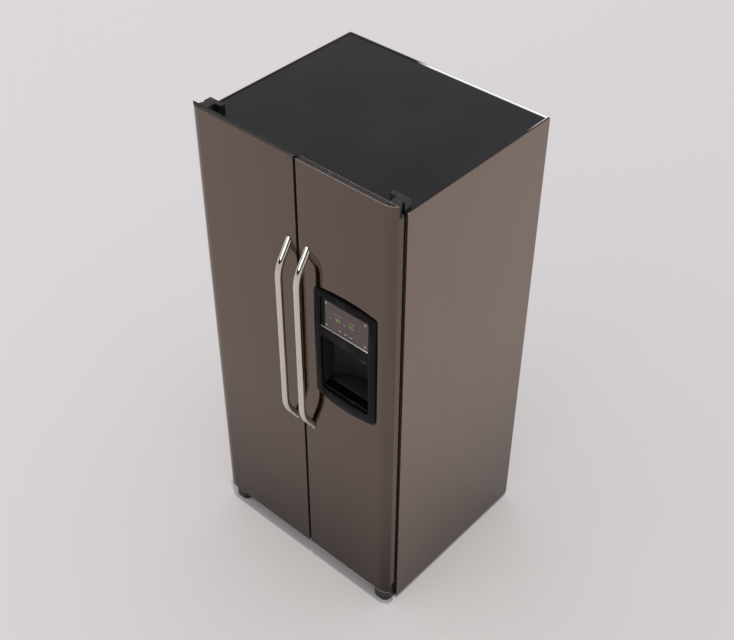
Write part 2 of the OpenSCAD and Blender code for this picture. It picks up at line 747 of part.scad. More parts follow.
module foot_plan(inset) {
  x0 = half_w - 83 - pin_x + inset;
  x1 = half_w - 15 - pin_x - inset;
  y0 = -17 + inset;
  c = 24 - inset;
  y1 = pin_front - 1;
  intersection() {
    translate([x0, y0]) square([x1 - x0, y1 - y0]);
    union() {
      translate([x0, y0 + c]) square([x1 - x0, y1]);
      translate([x0 + c, y0]) square([x1 - x0 - 2 * c, y1]);
      for (x = [x0 + c, x1 - c]) translate([x, y0 + c]) circle(r = c);
    }
  }
}

// Round-cornered cover under each door's outer corner, round the lower hinge
module foot_cover(s) {
  tier_z = slab_z0 - 4;
  on_side(s) translate([pin_x, pin_y, 0]) {
    difference() {
      union() {
        translate([0, 0, 3]) linear_extrude(tier_z - 3) foot_plan(0);
        translate([0, 0, tier_z - 2]) linear_extrude(hinge_plate_z - tier_z + 2)
          hinge_arm(cover_r, 52, pin_front - 1);
      }
      translate([0, 0, 2]) linear_extrude(tier_z - 4) foot_plan(2.5);
      translate([0, 0, tier_z - 4]) linear_extrude(hinge_plate_z - tier_z + 5)
        hinge_arm(cover_r - 2, 49, pin_front);
      box([-50, 10, 30], [-4, 40, hinge_plate_z + 5]);
    }
  }
}

// ---------- doors ----------
// A door is drawn for the right-hand side; its hinge edge is at +X and its free edge at x_in.

function door_in(s) = s > 0 ? gap_x + door_gap / 2 : -(gap_x - door_gap / 2);

module slab_plan(x_in, inset) {
  intersection() {
    translate([x_in + inset, slab_y0 + inset])
      square([half_w - x_in - 2 * inset + 0.5 * inset, slab_t - 2 * inset]);
    union() {
      translate([x_in - 1, slab_y0 - 1]) square([half_w - sweep_w - x_in + 1, slab_t + 2]);
      translate([half_w - sweep_w, slab_y0 + sweep_r]) circle(r = sweep_r - inset, $fn = 180);
    }
  }
}

win_edge = 20;
module door_panel(s) {
  x_in = door_in(s);
  on_side(s) difference() {
    union() {
      // front slab, a flattened tube of sheet
      difference() {
        translate([0, 0, slab_z0]) linear_extrude(slab_z1 - slab_z0) slab_plan(x_in, 0);
        translate([0, 0, slab_z0 - 1]) linear_extrude(slab_z1 - slab_z0 + 2)
          slab_plan(x_in, sheet_t);
      }
      // sides of the door body, with return flanges at the back
      difference() {
        box([x_in, slab_y1 - sheet_t, body_z0], [half_w, body_y1, cabinet_h]);
        box([x_in + sheet_t, slab_y1 - sheet_t - 1, body_z0 - 1],
            [half_w - sheet_t, body_y1 - sheet_t, cabinet_h + 1]);
        box([x_in + 12, slab_y1, body_z0 - 1], [half_w - 12, 0, cabinet_h + 1]);
      }
    }
    // the slab's back is open between the end caps
    box([x_in + win_edge, slab_y1 - sheet_t - 0.5, body_z0 + cap_t / 2],
        [half_w - sweep_w, slab_y1 + 0.5, cabinet_h - cap_t / 2]);
    if (s > 0)
      box([disp_x - cut_w / 2, slab_y0 - 1, cut_z0], [disp_x + cut_w / 2, 0, cut_z1]);
  }
}

// One moulded end cap: z_slab is its outer end in the slab, z_body its end in the door body,
// and z_in the end that both parts share inside the door
module end_cap(x_in, z_slab, z_body, z_in) {
  a = min(z_slab, z_in);
  b = min(z_body, z_in);
  translate([0, 0, a]) linear_extrude(abs(z_slab - z_in)) slab_plan(x_in, sheet_t);
  box([x_in + sheet_t, slab_y1, b],
      [half_w - sheet_t, body_y1 - sheet_t, b + abs(z_body - z_in)]);
  // web through the open back of the slab
  w0 = z_in > z_body ? z_in - cap_t / 2 : z_in;
  box([x_in + win_edge, slab_y1 - sheet_t, w0], [half_w - sweep_w, slab_y1 + 1, w0 + cap_t / 2]);
}

module door_caps(s) {
  x_in = door_in(s);
  on_side(s) difference() {
    union() {
      end_cap(x_in, slab_z1 - cap_recess, cabinet_h, cabinet_h - cap_t);
      end_cap(x_in, slab_z0 + cap_recess, body_z0, body_z0 + cap_t);
    }
    translate([pin_x, pin_y, cabinet_h - cap_t + 3]) cylinder(r = pin_r + fit, h = cap_t);
    translate([pin_x, pin_y, body_z0 - 3]) cylinder(r = pin_r + fit, h = cap_t);
  }
}

liner_edge = half_w - 8;
module door_liner(s, bins, lugs) {
  x_in = door_in(s) + 2;
  z0 = body_z0 + 2;
  z1 = cabinet_h - 2;
  free = door_post(s);
  difference() {
    box([x_in, body_y1, z0], [liner_edge, liner_y1, z1]);
    box([x_in + 8, body_y1 - 1, z0 + 8], [liner_edge - 8, liner_y1 - 4, z1 - 8]);
    if (s > 0) bulge(bulge_w / 2 - liner_t, -30, -2, bulge_z0 + liner_t, bulge_z1 - liner_t);
  }
  if (s > 0) difference() {
    bulge(bulge_w / 2, liner_y1 - 4, bulge_y1, bulge_z0, bulge_z1);
    bulge(bulge_w / 2 - liner_t, liner_y1 - 5, bulge_y1 - liner_t,
          bulge_z0 + liner_t, bulge_z1 - liner_t);
    translate([disp_x, 0, 0]) chute_axis() cylinder(r = chute_r + seat, h = chute_len);
  }
  // posts that carry the bins, with a lug under each bin
  for (run = bins) for (x = [free, half_w - 66])
    box([x, liner_y1 - eps, run[0]], [x + post_w, post_y1, run[1]]);
  for (z = lugs) {
    box([free + post_w - 1, liner_y1 - eps, z - 10], [free + post_w + 18, post_y1, z]);
    box([half_w - 66 - 18, liner_y1 - eps, z - 10], [half_w - 65, post_y1, z]);
  }
}

// Free-side post of each door, clear of the centre wall as the door swings
function door_post(s) = s > 0 ? freezer_x0 + 8 : -fresh_x1 + 10;

module bulge(half, y0, y1, z0, z1) {
  box([disp_x - half, y0, z0], [disp_x + half, y1, z1]);
}

// Magnetic gasket: a foot in the door, a neck and the bulb that meets the front frame
module gasket(s) {
  x0 = door_in(s) + 3;
  x1 = pin_x;
  z0 = body_z0 + 6;
  z1 = cabinet_h - 6;
  y1 = -gasket_gap;
  on_side(s) for (part = [[0, gasket_w, liner_y1, liner_y1 + 3],
                          [gasket_w * 0.3, gasket_w * 0.7, liner_y1 + 3, y1 - 4],
                          [1, gasket_w - 1, y1 - 4, y1]])
    difference() {
      box([x0 + part[0], part[2], z0 + part[0]], [x1 - part[0], part[3], z1 - part[0]]);
      box([x0 + part[1], part[2] - 1, z0 + part[1]], [x1 - part[1], part[3] + 1, z1 - part[1]]);
    }
}

// Section of the handle's tube
module handle_section(grow = 0) {
  circle(r = handle_r + grow, $fn = 60);
}

leg_angle = atan2(handle_out - bend_r * (1 - cos(30)), leg_rise - bend_r * sin(30));
// The bends are a hair thicker than the straight stretches, which end just inside them
bend_grow = 0.05;
bend_lap = 0.4;
module handle(s) {
  bend_h = bend_r * sin(leg_angle);
  bend_y = bend_r * (1 - cos(leg_angle));
  leg_len = (handle_out - bend_y) / sin(leg_angle);
  straight = handle_len / 2 - (bend_h + leg_len * cos(leg_angle));
  on_side(s) translate([door_in(s) + handle_inset, slab_y0 - handle_out, handle_z]) difference() {
    union() {
      translate([0, 0, -straight - bend_lap])
        linear_extrude(2 * (straight + bend_lap)) handle_section();
      for (m = [0, 1]) mirror([0, 0, m]) translate([0, 0, straight]) {
        translate([0, bend_r, 0]) rotate([90, 0, -90]) rotate_extrude(angle = leg_angle)
          translate([bend_r, 0]) rotate(90) handle_section(bend_grow);
        translate([0, bend_y, bend_h]) rotate([-leg_angle, 0, 0])
          translate([0, 0, -bend_lap]) linear_extrude(leg_len + 30) handle_section();
      }
    }
    // the legs end flat on the door
    box([-50, handle_out, -handle_len], [50, handle_out + 90, handle_len]);
  }
}

// Open bin on a door, resting on the lugs at its ends
module door_bin(x0, x1, z, h) {
  y0 = liner_y1 + seat;
  difference() {
    box([x0, y0, z], [x1, bin_y1, z + h]);
    box([x0 + bin_wall, y0 + bin_wall, z + bin_wall], [x1 - bin_wall, bin_y1 - bin_wall, z + h + 1]);
  }
  // rolled front rail
  translate([x0, bin_y1 - 4, z + h]) rotate([0, 90, 0]) cylinder(r = 4, h = x1 - x0);
}

dairy_z = room_z1 - dairy_h - 16;
left_bin_zs = spread(left_bin_z0, dairy_z - 300, 4);
right_bin_zs = [right_bin_z0, bulge_z0 - bin_h - 74, dairy_z];
post_z0 = min(left_bin_z0, right_bin_z0) - 30;
post_z1 = room_z1 - 6;
function bin_x0(s) = door_post(s) + post_w + (s > 0 ? 9 : 6);
bin_x1 = half_w - 67;

module left_bins() color([0.85, 0.9, 0.92, 0.8]) in_frame() on_side(-1) {
  for (z = left_bin_zs) door_bin(bin_x0(-1), bin_x1, z, bin_h);
  // dairy compartment, open towards the shelves, with bores for the flap's pins
  difference() {
    box([bin_x0(-1), liner_y1 + seat, dairy_z], [bin_x1, bin_y1, dairy_z + dairy_h]);
    box([bin_x0(-1) + 3, liner_y1 + 3, dairy_z + 3], [bin_x1 - 3, bin_y1 - 10, dairy_z + dairy_h - 3]);
    box([bin_x0(-1) + 3, bin_y1 - 11, dairy_z - 1], [bin_x1 - 3, bin_y1 + 1, dairy_z + dairy_h + 1]);
    translate([bin_x0(-1) - 1, bin_y1 - 5, dairy_z + dairy_h - 6]) rotate([0, 90, 0])
      cylinder(r = 2 + fit, h = bin_x1 - bin_x0(-1) + 2);
  }
}

module dairy_flap() color([0.8, 0.87, 0.9, 0.7]) in_frame() on_side(-1) {
  x0 = bin_x0(-1) + 3.6;
  x1 = bin_x1 - 3.6;
  z1 = dairy_z + dairy_h - 6;
  translate([x0 - 3, bin_y1 - 5, z1]) rotate([0, 90, 0]) cylinder(r = 2, h = x1 - x0 + 6);
  translate([x0, bin_y1 - 5, z1]) rotate([0, 90, 0]) cylinder(r = 4, h = x1 - x0);
  box([x0, bin_y1 - 6.5, dairy_z + 4], [x1, bin_y1 - 3.5, z1]);
  box([x0 + 90, bin_y1 - 3.6, dairy_z + 6], [x1 - 90, bin_y1 + 4, dairy_z + 12]);
}

module right_bins() color([0.85, 0.9, 0.92, 0.8]) in_frame()
  for (z = right_bin_zs) door_bin(bin_x0(1), bin_x1, z, bin_h);

// ---------- dispenser ----------

// radius of an arc that rises this much over half its chord
function arc_r(half, rise) = (half * half + rise * rise) / (2 * rise);

// End of the fascia's outline, from y = 0 up: a bowed edge whose round corners run into it
module bowed_end(high, bow, corner) {
  w = fascia_w / 2;
  r = arc_r(w, bow);
  side = w - corner;
  corner_y = high - r + sqrt((r - corner) * (r - corner) - side * side);
  translate([-w, 0]) square([2 * w, corner_y]);
  for (x = [-side, side]) translate([x, corner_y]) circle(r = corner, $fn = 96);
  intersection() {
    blend = side * r / (r - corner);
    translate([-blend, 0]) square([2 * blend, high + 1]);
    translate([0, high - r]) circle(r = r, $fn = 360);
  }
}

// Outline of the fascia seen from the front
module fascia_outline() {
  translate([0, fascia_mid]) {
    bowed_end(fascia_z1 - fascia_mid, fascia_top_bow, fascia_top_corner);
    mirror([0, 1]) bowed_end(fascia_mid - fascia_z0, fascia_low_bow, fascia_low_corner);
  }
}

module rounded_rect(w, z0, z1, r) {
  translate([-w / 2 + r, z0]) square([w - 2 * r, z1 - z0]);
  translate([-w / 2, z0 + r]) square([w, z1 - z0 - 2 * r]);
  for (x = [-w / 2 + r, w / 2 - r]) for (z = [z0 + r, z1 - r]) translate([x, z]) circle(r = r);
}

module dispenser_fascia() color([0.08, 0.08, 0.08]) in_frame() translate([disp_x, 0, 0]) {
  front_r = arc_r(fascia_w / 2, fascia_bulge);
  crown_h = (fascia_z1 - fascia_z0) / 2;
  crown_r = arc_r(crown_h, fascia_crown);
  difference() {
    intersection() {
      translate([0, slab_y0, 0]) rotate([90, 0, 0]) linear_extrude(fascia_out) fascia_outline();
      // the front bulges both ways
      translate([0, slab_y0 - fascia_out + front_r, fascia_mid]) rotate_extrude($fn = 360)
        intersection() {
          translate([0, -crown_h - 20]) square([front_r, 2 * crown_h + 40]);
          translate([front_r - crown_r, 0]) circle(r = crown_r, $fn = 720);
        }
    }
    translate([0, slab_y0 + 1, 0]) rotate([90, 0, 0]) linear_extrude(fascia_out + 2) {
      rounded_rect(well_w, well_z0, well_z1, 14);
      rounded_rect(window_w, window_z0, window_z1, 6);
    }
  }
}

module display_panel() color([0.2, 0.18, 0.17]) in_frame() translate([disp_x, 0, 0]) {
  translate([0, slab_y0, 0]) rotate([90, 0, 0]) linear_extrude(3)
    rounded_rect(window_w - 2 * seat, window_z0 + seat, window_z1 - seat, 5.7);
  box([-window_w / 2 - 8, slab_y0, window_z0 - 8], [window_w / 2 + 8, slab_y0 + 12, window_z1 + 8]);
}

// Plan of the dispensing well: straight sides and a round back
module well_plan(grow) {
  intersection() {
    translate([-well_w / 2 - grow, slab_y0 - 20]) square([well_w + 2 * grow, 200]);
    union() {
      translate([0, well_cy]) circle(r = well_r + grow, $fn = 128);
      translate([-well_w / 2 - grow, slab_y0 - 20]) square([well_w + 2 * grow, 20]);
    }
  }
}

// Axis of the ice chute, from the well's ceiling up to the top of the door's bulge
chute_y0 = -12;
chute_y1 = 34;
chute_len = 1.1 * (bulge_z1 - well_z1) + 60;
module chute_axis() {
  translate([0, chute_y0, well_z1]) rotate([-atan2(chute_y1 - chute_y0, bulge_z1 - well_z1), 0, 0])
    children();
}

flap_y = 14;
flap_z = well_z1 - 5;
paddle_y = 24;
paddle_z = well_z1 - 14;
lug_x = 32;
module dispenser_housing() color([0.06, 0.06, 0.06]) in_frame() translate([disp_x, 0, 0]) {
  t = housing_wall;
  difference() {
    union() {
      intersection() {
        translate([0, 0, well_z0 - t]) linear_extrude(well_z1 - well_z0 + 2 * t) well_plan(t);
        box([-200, slab_y0, 0], [200, 200, 2000]);
      }
      // flange that seats behind the fascia
      box([-cut_w / 2 + seat, slab_y0, cut_z0 + seat], [cut_w / 2 - seat, slab_y0 + 3, window_z0 - 10]);
      // ice chute
      intersection() {
        chute_axis() translate([0, 0, -20]) cylinder(r = chute_r, h = chute_len);
        box([-100, -100, well_z1], [100, 200, bulge_z1]);
      }
    }
    translate([0, 0, well_z0]) linear_extrude(well_z1 - well_z0) well_plan(0);
    intersection() {
      chute_axis() translate([0, 0, -20]) cylinder(r = chute_r - housing_wall, h = chute_len);
      box([-100, -100, well_z1 - 1], [100, 200, bulge_z1 + 1]);
    }
  }
  // lugs for the flap and the paddle
  for (m = [0, 1]) mirror([m, 0, 0]) difference() {
    box([lug_x, flap_y - 5, paddle_z - 6], [lug_x + 6, paddle_y + 6, well_z1 + 0.5]);
    translate([lug_x - 1, flap_y, flap_z]) rotate([0, 90, 0]) cylinder(r = 2 + fit, h = 8);
    translate([lug_x - 1, paddle_y, paddle_z]) rotate([0, 90, 0]) cylinder(r = 3 + fit, h = 8);
  }
  // water nozzle
  translate([0, slab_y0 + 14, well_z1 - 14]) cylinder(r = 4, h = 14.5);
}

module dispenser_paddle() color([0.15, 0.15, 0.15]) in_frame() translate([disp_x, 0, 0]) {
  translate([-lug_x - 5, paddle_y, paddle_z]) rotate([0, 90, 0]) cylinder(r = 3, h = 2 * lug_x + 10);
  translate([-lug_x + 1, paddle_y, paddle_z]) rotate([0, 90, 0]) cylinder(r = 5, h = 2 * lug_x - 2);
  // blade with a round lower end
  translate([0, paddle_y + 1.5, 0]) rotate([90, 0, 0]) linear_extrude(3) {
    translate([-22, paddle_z - 90]) square([44, 90]);
    translate([0, paddle_z - 90]) circle(r = 22);
  }
}

module chute_flap() color([0.2, 0.2, 0.2]) in_frame() translate([disp_x, 0, 0]) {
  translate([-lug_x - 5, flap_y, flap_z]) rotate([0, 90, 0]) cylinder(r = 2, h = 2 * lug_x + 10);
  translate([-lug_x + 1, flap_y, flap_z]) rotate([0, 90, 0]) cylinder(r = 3, h = 2 * lug_x - 2);
  translate([0, chute_y0, flap_z]) cylinder(r = chute_r, h = 3);
  box([-14, chute_y0, flap_z], [14, flap_y, flap_z + 3]);
}

module drip_tray() color([0.1, 0.1, 0.1]) in_frame() translate([disp_x, 0, 0]) difference() {
  translate([0, 0, well_z0]) linear_extrude(8) intersection() {
    well_plan(-seat);
    translate([-200, slab_y0 + seat]) square([400, 200]);
  }
  for (i = [-6:6]) box([i * 13 - 3, slab_y0 + 14, well_z0 + 2], [i * 13 + 3, 6, well_z0 + 9]);
}

// ---------- placed pieces ----------

steel = [0.42, 0.38, 0.35];
dark = [0.1, 0.1, 0.1];
module side_panel_left() color(steel) in_frame() side_panel(-1);
module side_panel_right() color(steel) in_frame() side_panel(1);
module hinge_top_left() color("silver") in_frame() hinge_top(-1);
module hinge_top_right() color("silver") in_frame() hinge_top(1);
module hinge_cover_left() color(dark) in_frame() hinge_cover(-1);
module hinge_cover_right() color(dark) in_frame() hinge_cover(1);
module hinge_bottom_left() color("silver") in_frame() hinge_bottom(-1);
module hinge_bottom_right() color("silver") in_frame() hinge_bottom(1);
module foot_cover_left() color(dark) in_frame() foot_cover(-1);
module foot_cover_right() color(dark) in_frame() foot_cover(1);
module leveling_leg_left() color("dimgray") in_frame() leveling_leg(-1);
module leveling_leg_right() color("dimgray") in_frame() leveling_leg(1);
module rear_roller_left() color("gray") in_frame() rear_roller(-1);
module rear_roller_right() color("gray") in_frame() rear_roller(1);
module left_door_panel() color(steel) in_frame() door_panel(-1);
module right_door_panel() color(steel) in_frame() door_panel(1);
module left_door_caps() color(dark) in_frame() door_caps(-1);
module right_door_caps() color(dark) in_frame() door_caps(1);
module left_door_liner() color([0.88, 0.88, 0.88]) in_frame() on_side(-1)
  door_liner(-1, [[post_z0, post_z1]], concat(left_bin_zs, [dairy_z]));
module right_door_liner() color([0.88, 0.88, 0.88]) in_frame()
  door_liner(1, [[post_z0, bulge_z0 - 45], [dairy_z - 20, post_z1]], right_bin_zs);
module left_gasket() color([0.2, 0.2, 0.2]) in_frame() gasket(-1);
module right_gasket() color([0.2, 0.2, 0.2]) in_frame() gasket(1);
module left_handle() color([0.8, 0.8, 0.8]) in_frame() handle(-1);
module right_handle() color([0.8, 0.8, 0.8]) in_frame() handle(1);

side_panel_left();
side_panel_right();
top_panel();
back_panel();
base_pan();
front_frame();
liner_fresh();
liner_freezer();
toe_grille();
hinge_top_left();
hinge_top_right();
hinge_cover_left();
hinge_cover_right();
hinge_bottom_left();
hinge_bottom_right();
foot_cover_left();
foot_cover_right();
leveling_leg_left();
leveling_leg_right();
rear_roller_left();
rear_roller_right();
compressor();
condenser();
fan_shroud();
fan_blade();
compressor_cover();
service_fittings();
control_housing();
shelf_frames();
shelf_glass();
crisper_upper();
crisper_lower();
evaporator_cover();
freezer_shelves();
freezer_basket_upper();
freezer_basket_lower();
ice_maker();
ice_bucket();
ice_auger();
left_door_panel();
left_door_caps();
left_door_liner();
left_gasket();
left_handle();
left_bins();
dairy_flap();
right_door_panel();
right_door_caps();
right_door_liner();
right_gasket();
right_handle();
right_bins();
dispenser_fascia();
display_panel();
dispenser_housing();
dispenser_paddle();
chute_flap();
drip_tray();
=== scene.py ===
"""Side by side refrigerator: finishes for its solids, and the small parts that dress them."""

import json
import logging
import math
from dataclasses import dataclass
from enum import Enum
from typing import Iterable, Optional, Sequence, Union

import bmesh
import bpy
from mathutils import Matrix, Vector

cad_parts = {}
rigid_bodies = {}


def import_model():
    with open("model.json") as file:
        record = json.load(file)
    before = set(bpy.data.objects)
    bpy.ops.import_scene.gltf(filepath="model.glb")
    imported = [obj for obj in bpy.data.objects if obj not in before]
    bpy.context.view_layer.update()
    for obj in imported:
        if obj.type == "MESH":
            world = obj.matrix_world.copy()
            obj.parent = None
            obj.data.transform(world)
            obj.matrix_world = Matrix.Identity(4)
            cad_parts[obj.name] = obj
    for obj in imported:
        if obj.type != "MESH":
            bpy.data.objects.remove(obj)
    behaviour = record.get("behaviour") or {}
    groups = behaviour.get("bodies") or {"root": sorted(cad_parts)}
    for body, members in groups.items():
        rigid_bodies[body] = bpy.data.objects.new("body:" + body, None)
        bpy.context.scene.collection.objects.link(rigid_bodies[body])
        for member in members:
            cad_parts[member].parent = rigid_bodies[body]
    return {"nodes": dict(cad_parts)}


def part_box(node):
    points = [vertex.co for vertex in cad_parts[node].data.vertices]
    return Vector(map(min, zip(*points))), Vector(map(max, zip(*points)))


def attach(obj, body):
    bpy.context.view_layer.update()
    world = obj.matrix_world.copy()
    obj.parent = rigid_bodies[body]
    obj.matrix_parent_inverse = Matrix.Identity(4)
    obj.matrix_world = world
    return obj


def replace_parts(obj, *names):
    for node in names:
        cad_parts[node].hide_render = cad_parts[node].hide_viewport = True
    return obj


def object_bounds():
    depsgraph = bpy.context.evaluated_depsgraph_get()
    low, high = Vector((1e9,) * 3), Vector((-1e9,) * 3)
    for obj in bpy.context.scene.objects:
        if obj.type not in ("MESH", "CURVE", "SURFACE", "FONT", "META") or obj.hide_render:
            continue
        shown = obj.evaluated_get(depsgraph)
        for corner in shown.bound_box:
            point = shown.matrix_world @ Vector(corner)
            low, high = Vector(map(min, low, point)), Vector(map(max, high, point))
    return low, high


for leftover in list(bpy.data.objects):
    bpy.data.objects.remove(leftover, do_unlink=True)
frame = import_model()
CAD_BOX = [list(corner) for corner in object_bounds()]
NODES = frame["nodes"]
SLOT_OF = {name: node.material_slots[0].material.name for name, node in NODES.items()}
LOG = logging.getLogger("refrigerator")
MM = 0.001
UPRIGHT = Matrix.Rotation(math.radians(90), 4, "X")

Colour = tuple[float, float, float]
Point = Sequence[float]
Feed = Union["Value", bpy.types.NodeSocket, bpy.types.Node, float, int, Sequence[float]]


def tone(red: float, green: float, blue: float) -> Colour:
    """Turns a display colour of 0 to 255 into the linear colour that shaders use.

    Args:
        red: Red, 0 to 255.
        green: Green, 0 to 255.
        blue: Blue, 0 to 255.

    Returns:
        The linear colour.
    """
    shares = (red / 255, green / 255, blue / 255)
    return tuple(c / 12.92 if c <= 0.04045 else ((c + 0.055) / 1.055) ** 2.4 for c in shares)


class Side(Enum):
    """The two sides of the cabinet, by the sign of x."""

    LEFT = -1
    RIGHT = 1

    @property
    def word(self) -> str:
        """The side's name as the nodes and bodies spell it."""
        return self.name.lower()


class Axis(Enum):
    """The direction that a turned or extruded shape grows in."""

    X = (1.0, 0.0, 0.0)
    Y = (0.0, 1.0, 0.0)
    Z = (0.0, 0.0, 1.0)
    BACK_X = (-1.0, 0.0, 0.0)
    BACK_Y = (0.0, -1.0, 0.0)
    DOWN = (0.0, 0.0, -1.0)

    def turn(self) -> Matrix:
        """The rotation that carries +Z onto this direction."""
        return Vector(self.value).to_track_quat("Z", "Y").to_matrix().to_4x4()


# ---------- node trees ----------


class Graph:
    """Adds nodes to one shader or geometry tree."""

    def __init__(self, tree: bpy.types.NodeTree) -> None:
        """Keeps the tree.

        Args:
            tree: The tree that gets the nodes.
        """
        self.tree = tree

    def node(
        self,
        kind: str,
        settings: Optional[dict[str, object]] = None,
        inputs: Optional[dict[Union[int, str], Feed]] = None,
    ) -> bpy.types.Node:
        """Adds one node.

        Args:
            kind: The node's type.
            settings: Its properties, set first.
            inputs: Values or links for its sockets, by index, name or identifier.

        Returns:
            The new node.
        """
        made = self.tree.nodes.new(kind)
        for key, value in (settings or {}).items():
            setattr(made, key, value)
        for key, value in (inputs or {}).items():
            self._feed(self._find(made.inputs, key), value)
        return made

    def out(self, node: bpy.types.Node, key: Union[int, str] = 0) -> "Value":
        """Wraps one output of a node so that it can be used in an expression."""
        return Value(self, self._find(node.outputs, key))

    @staticmethod
    def _find(
        sockets: Iterable[bpy.types.NodeSocket], key: Union[int, str]
    ) -> bpy.types.NodeSocket:
        """Finds a socket by its index, identifier or name among the enabled ones."""
        if isinstance(key, int):
            return list(sockets)[key]
        return next(s for s in sockets if s.enabled and key in (s.identifier, s.name))

    def _feed(self, socket: bpy.types.NodeSocket, value: Feed) -> None:
        """Links or sets one input socket.

        Args:
            socket: The input.
            value: A wrapped value, a socket, a node (its first output) or plain numbers.
        """
        if isinstance(value, Value):
            value = value.socket
        if isinstance(value, bpy.types.Node):
            value = next(s for s in value.outputs if s.enabled)
        if isinstance(value, bpy.types.NodeSocket):
            self.tree.links.new(value, socket)
        elif isinstance(value, (tuple, list)) and len(value) == 3 and socket.type == "RGBA":
            socket.default_value = (*value, 1.0)
        else:
            socket.default_value = value


class Value:
    """A socket that adds a Math node for each operator used on it."""

    def __init__(self, graph: Graph, socket: bpy.types.NodeSocket) -> None:
        """Keeps the socket and the graph it belongs to.

        Args:
            graph: The graph that gets the Math nodes.
            socket: The output socket that carries the value.
        """
        self.graph = graph
        self.socket = socket

    def _math(self, operation: str, first: Feed, second: Feed = 0.0) -> "Value":
        """Adds one Math node.

        Args:
            operation: The Math node's operation.
            first: Its first input.
            second: Its second input.

        Returns:
            The result as a value.
        """
        node = self.graph.node("ShaderNodeMath", {"operation": operation}, {0: first, 1: second})
        return Value(self.graph, node.outputs[0])

    def __add__(self, other: Feed) -> "Value":
        """self + other."""
        return self._math("ADD", self, other)

    __radd__ = __add__

    def __sub__(self, other: Feed) -> "Value":
        """self - other."""
        return self._math("SUBTRACT", self, other)

    def __rsub__(self, other: Feed) -> "Value":
        """other - self."""
        return self._math("SUBTRACT", other, self)

    def __mul__(self, other: Feed) -> "Value":
        """self * other."""
        return self._math("MULTIPLY", self, other)

    __rmul__ = __mul__

    def __truediv__(self, other: Feed) -> "Value":
        """self / other."""
        return self._math("DIVIDE", self, other)

    def __pow__(self, other: Feed) -> "Value":
        """self ** other."""
        return self._math("POWER", self, other)

    def within(self) -> "Value":
        """This value, limited to the range from 0 to 1."""
        return self._math("MINIMUM", self._math("MAXIMUM", self, 0.0), 1.0)


class Recipe(Graph):
    """The node tree of one material, with the patterns that a finish is mixed from."""

    def __init__(self, name: str) -> None:
        """Makes an empty material.

        Args:
            name: The material's name.
        """
        self.material = bpy.data.materials.new(name)
        self.material.use_nodes = True
        super().__init__(self.material.node_tree)
        self.tree.nodes.clear()
        self.output = self.node("ShaderNodeOutputMaterial")
        self.place = self.node("ShaderNodeTexCoord").outputs["Object"]

    def stretched(self, stretch: Point) -> bpy.types.Node:
        """Object coordinates, scaled along each axis."""
        return self.node("ShaderNodeMapping", {}, {"Vector": self.place, "Scale": tuple(stretch)})

    def noise(self, scale: float, detail: float = 3.0, stretch: Point = (1, 1, 1)) -> Value:
        """A soft random pattern.

        Args:
            scale: Features per metre.
            detail: How many finer layers it has.
            stretch: How much it is squeezed along each axis.

        Returns:
            The pattern, 0 to 1.
        """
        where = {"Vector": self.stretched(stretch), "Scale": scale, "Detail": detail}
        return self.out(self.node("ShaderNodeTexNoise", {}, where))

    def cells(self, scale: float, stretch: Point = (1, 1, 1)) -> Value:
        """The distance pattern of random cells, for spangle, specks and moulded grain."""
        where = {"Vector": self.stretched(stretch), "Scale": scale}
        return self.out(self.node("ShaderNodeTexVoronoi", {}, where), "Distance")

    def coordinate(self, axis: str) -> Value:
        """One object coordinate, in metres."""
        return self.out(self.node("ShaderNodeSeparateXYZ", {}, {"Vector": self.place}), axis)

    def blend(self, share: Feed, first: Feed, second: Feed) -> bpy.types.NodeSocket:
        """Mixes two colours.

        Args:
            share: How much of the second colour.
            first: The first colour.
            second: The second colour.

        Returns:
            The mixed colour.
        """
        colours = {"Factor_Float": share, "A_Color": first, "B_Color": second}
        mix = self.node("ShaderNodeMix", {"data_type": "RGBA"}, colours)
        return self._find(mix.outputs, "Result_Color")

    def scaled(self, colour: Feed, amount: Feed) -> bpy.types.NodeSocket:
        """A colour times a number."""
        settings = {"operation": "SCALE"}
        return self.node("ShaderNodeVectorMath", settings, {0: colour, "Scale": amount}).outputs[0]

    def bump(self, height: Feed, strength: float, depth: float) -> bpy.types.Node:
        """Turns a height pattern into small relief.

        Args:
            height: The pattern.
            strength: How strongly it tilts the surface.
            depth: Its depth in metres.

        Returns:
            The Bump node.
        """
        inputs = {"Height": height, "Strength": strength, "Distance": depth}
        return self.node("ShaderNodeBump", {}, inputs)

    def surface(self, **inputs: Feed) -> bpy.types.Material:
        """Ends the tree in a Principled shader.

        Args:
            inputs: Its sockets, with underscores for the spaces in their names.

        Returns:
            The finished material.
        """
        named = {key.replace("_", " "): value for key, value in inputs.items()}
        shader = self.node("ShaderNodeBsdfPrincipled", {}, named)
        self.tree.links.new(shader.outputs[0], self.output.inputs["Surface"])
        return self.material


# ---------- finishes ----------


@dataclass(frozen=True)
class Finish:
    """What every finish has.

    Attributes:
        name: The material's name.
    """

    name: str


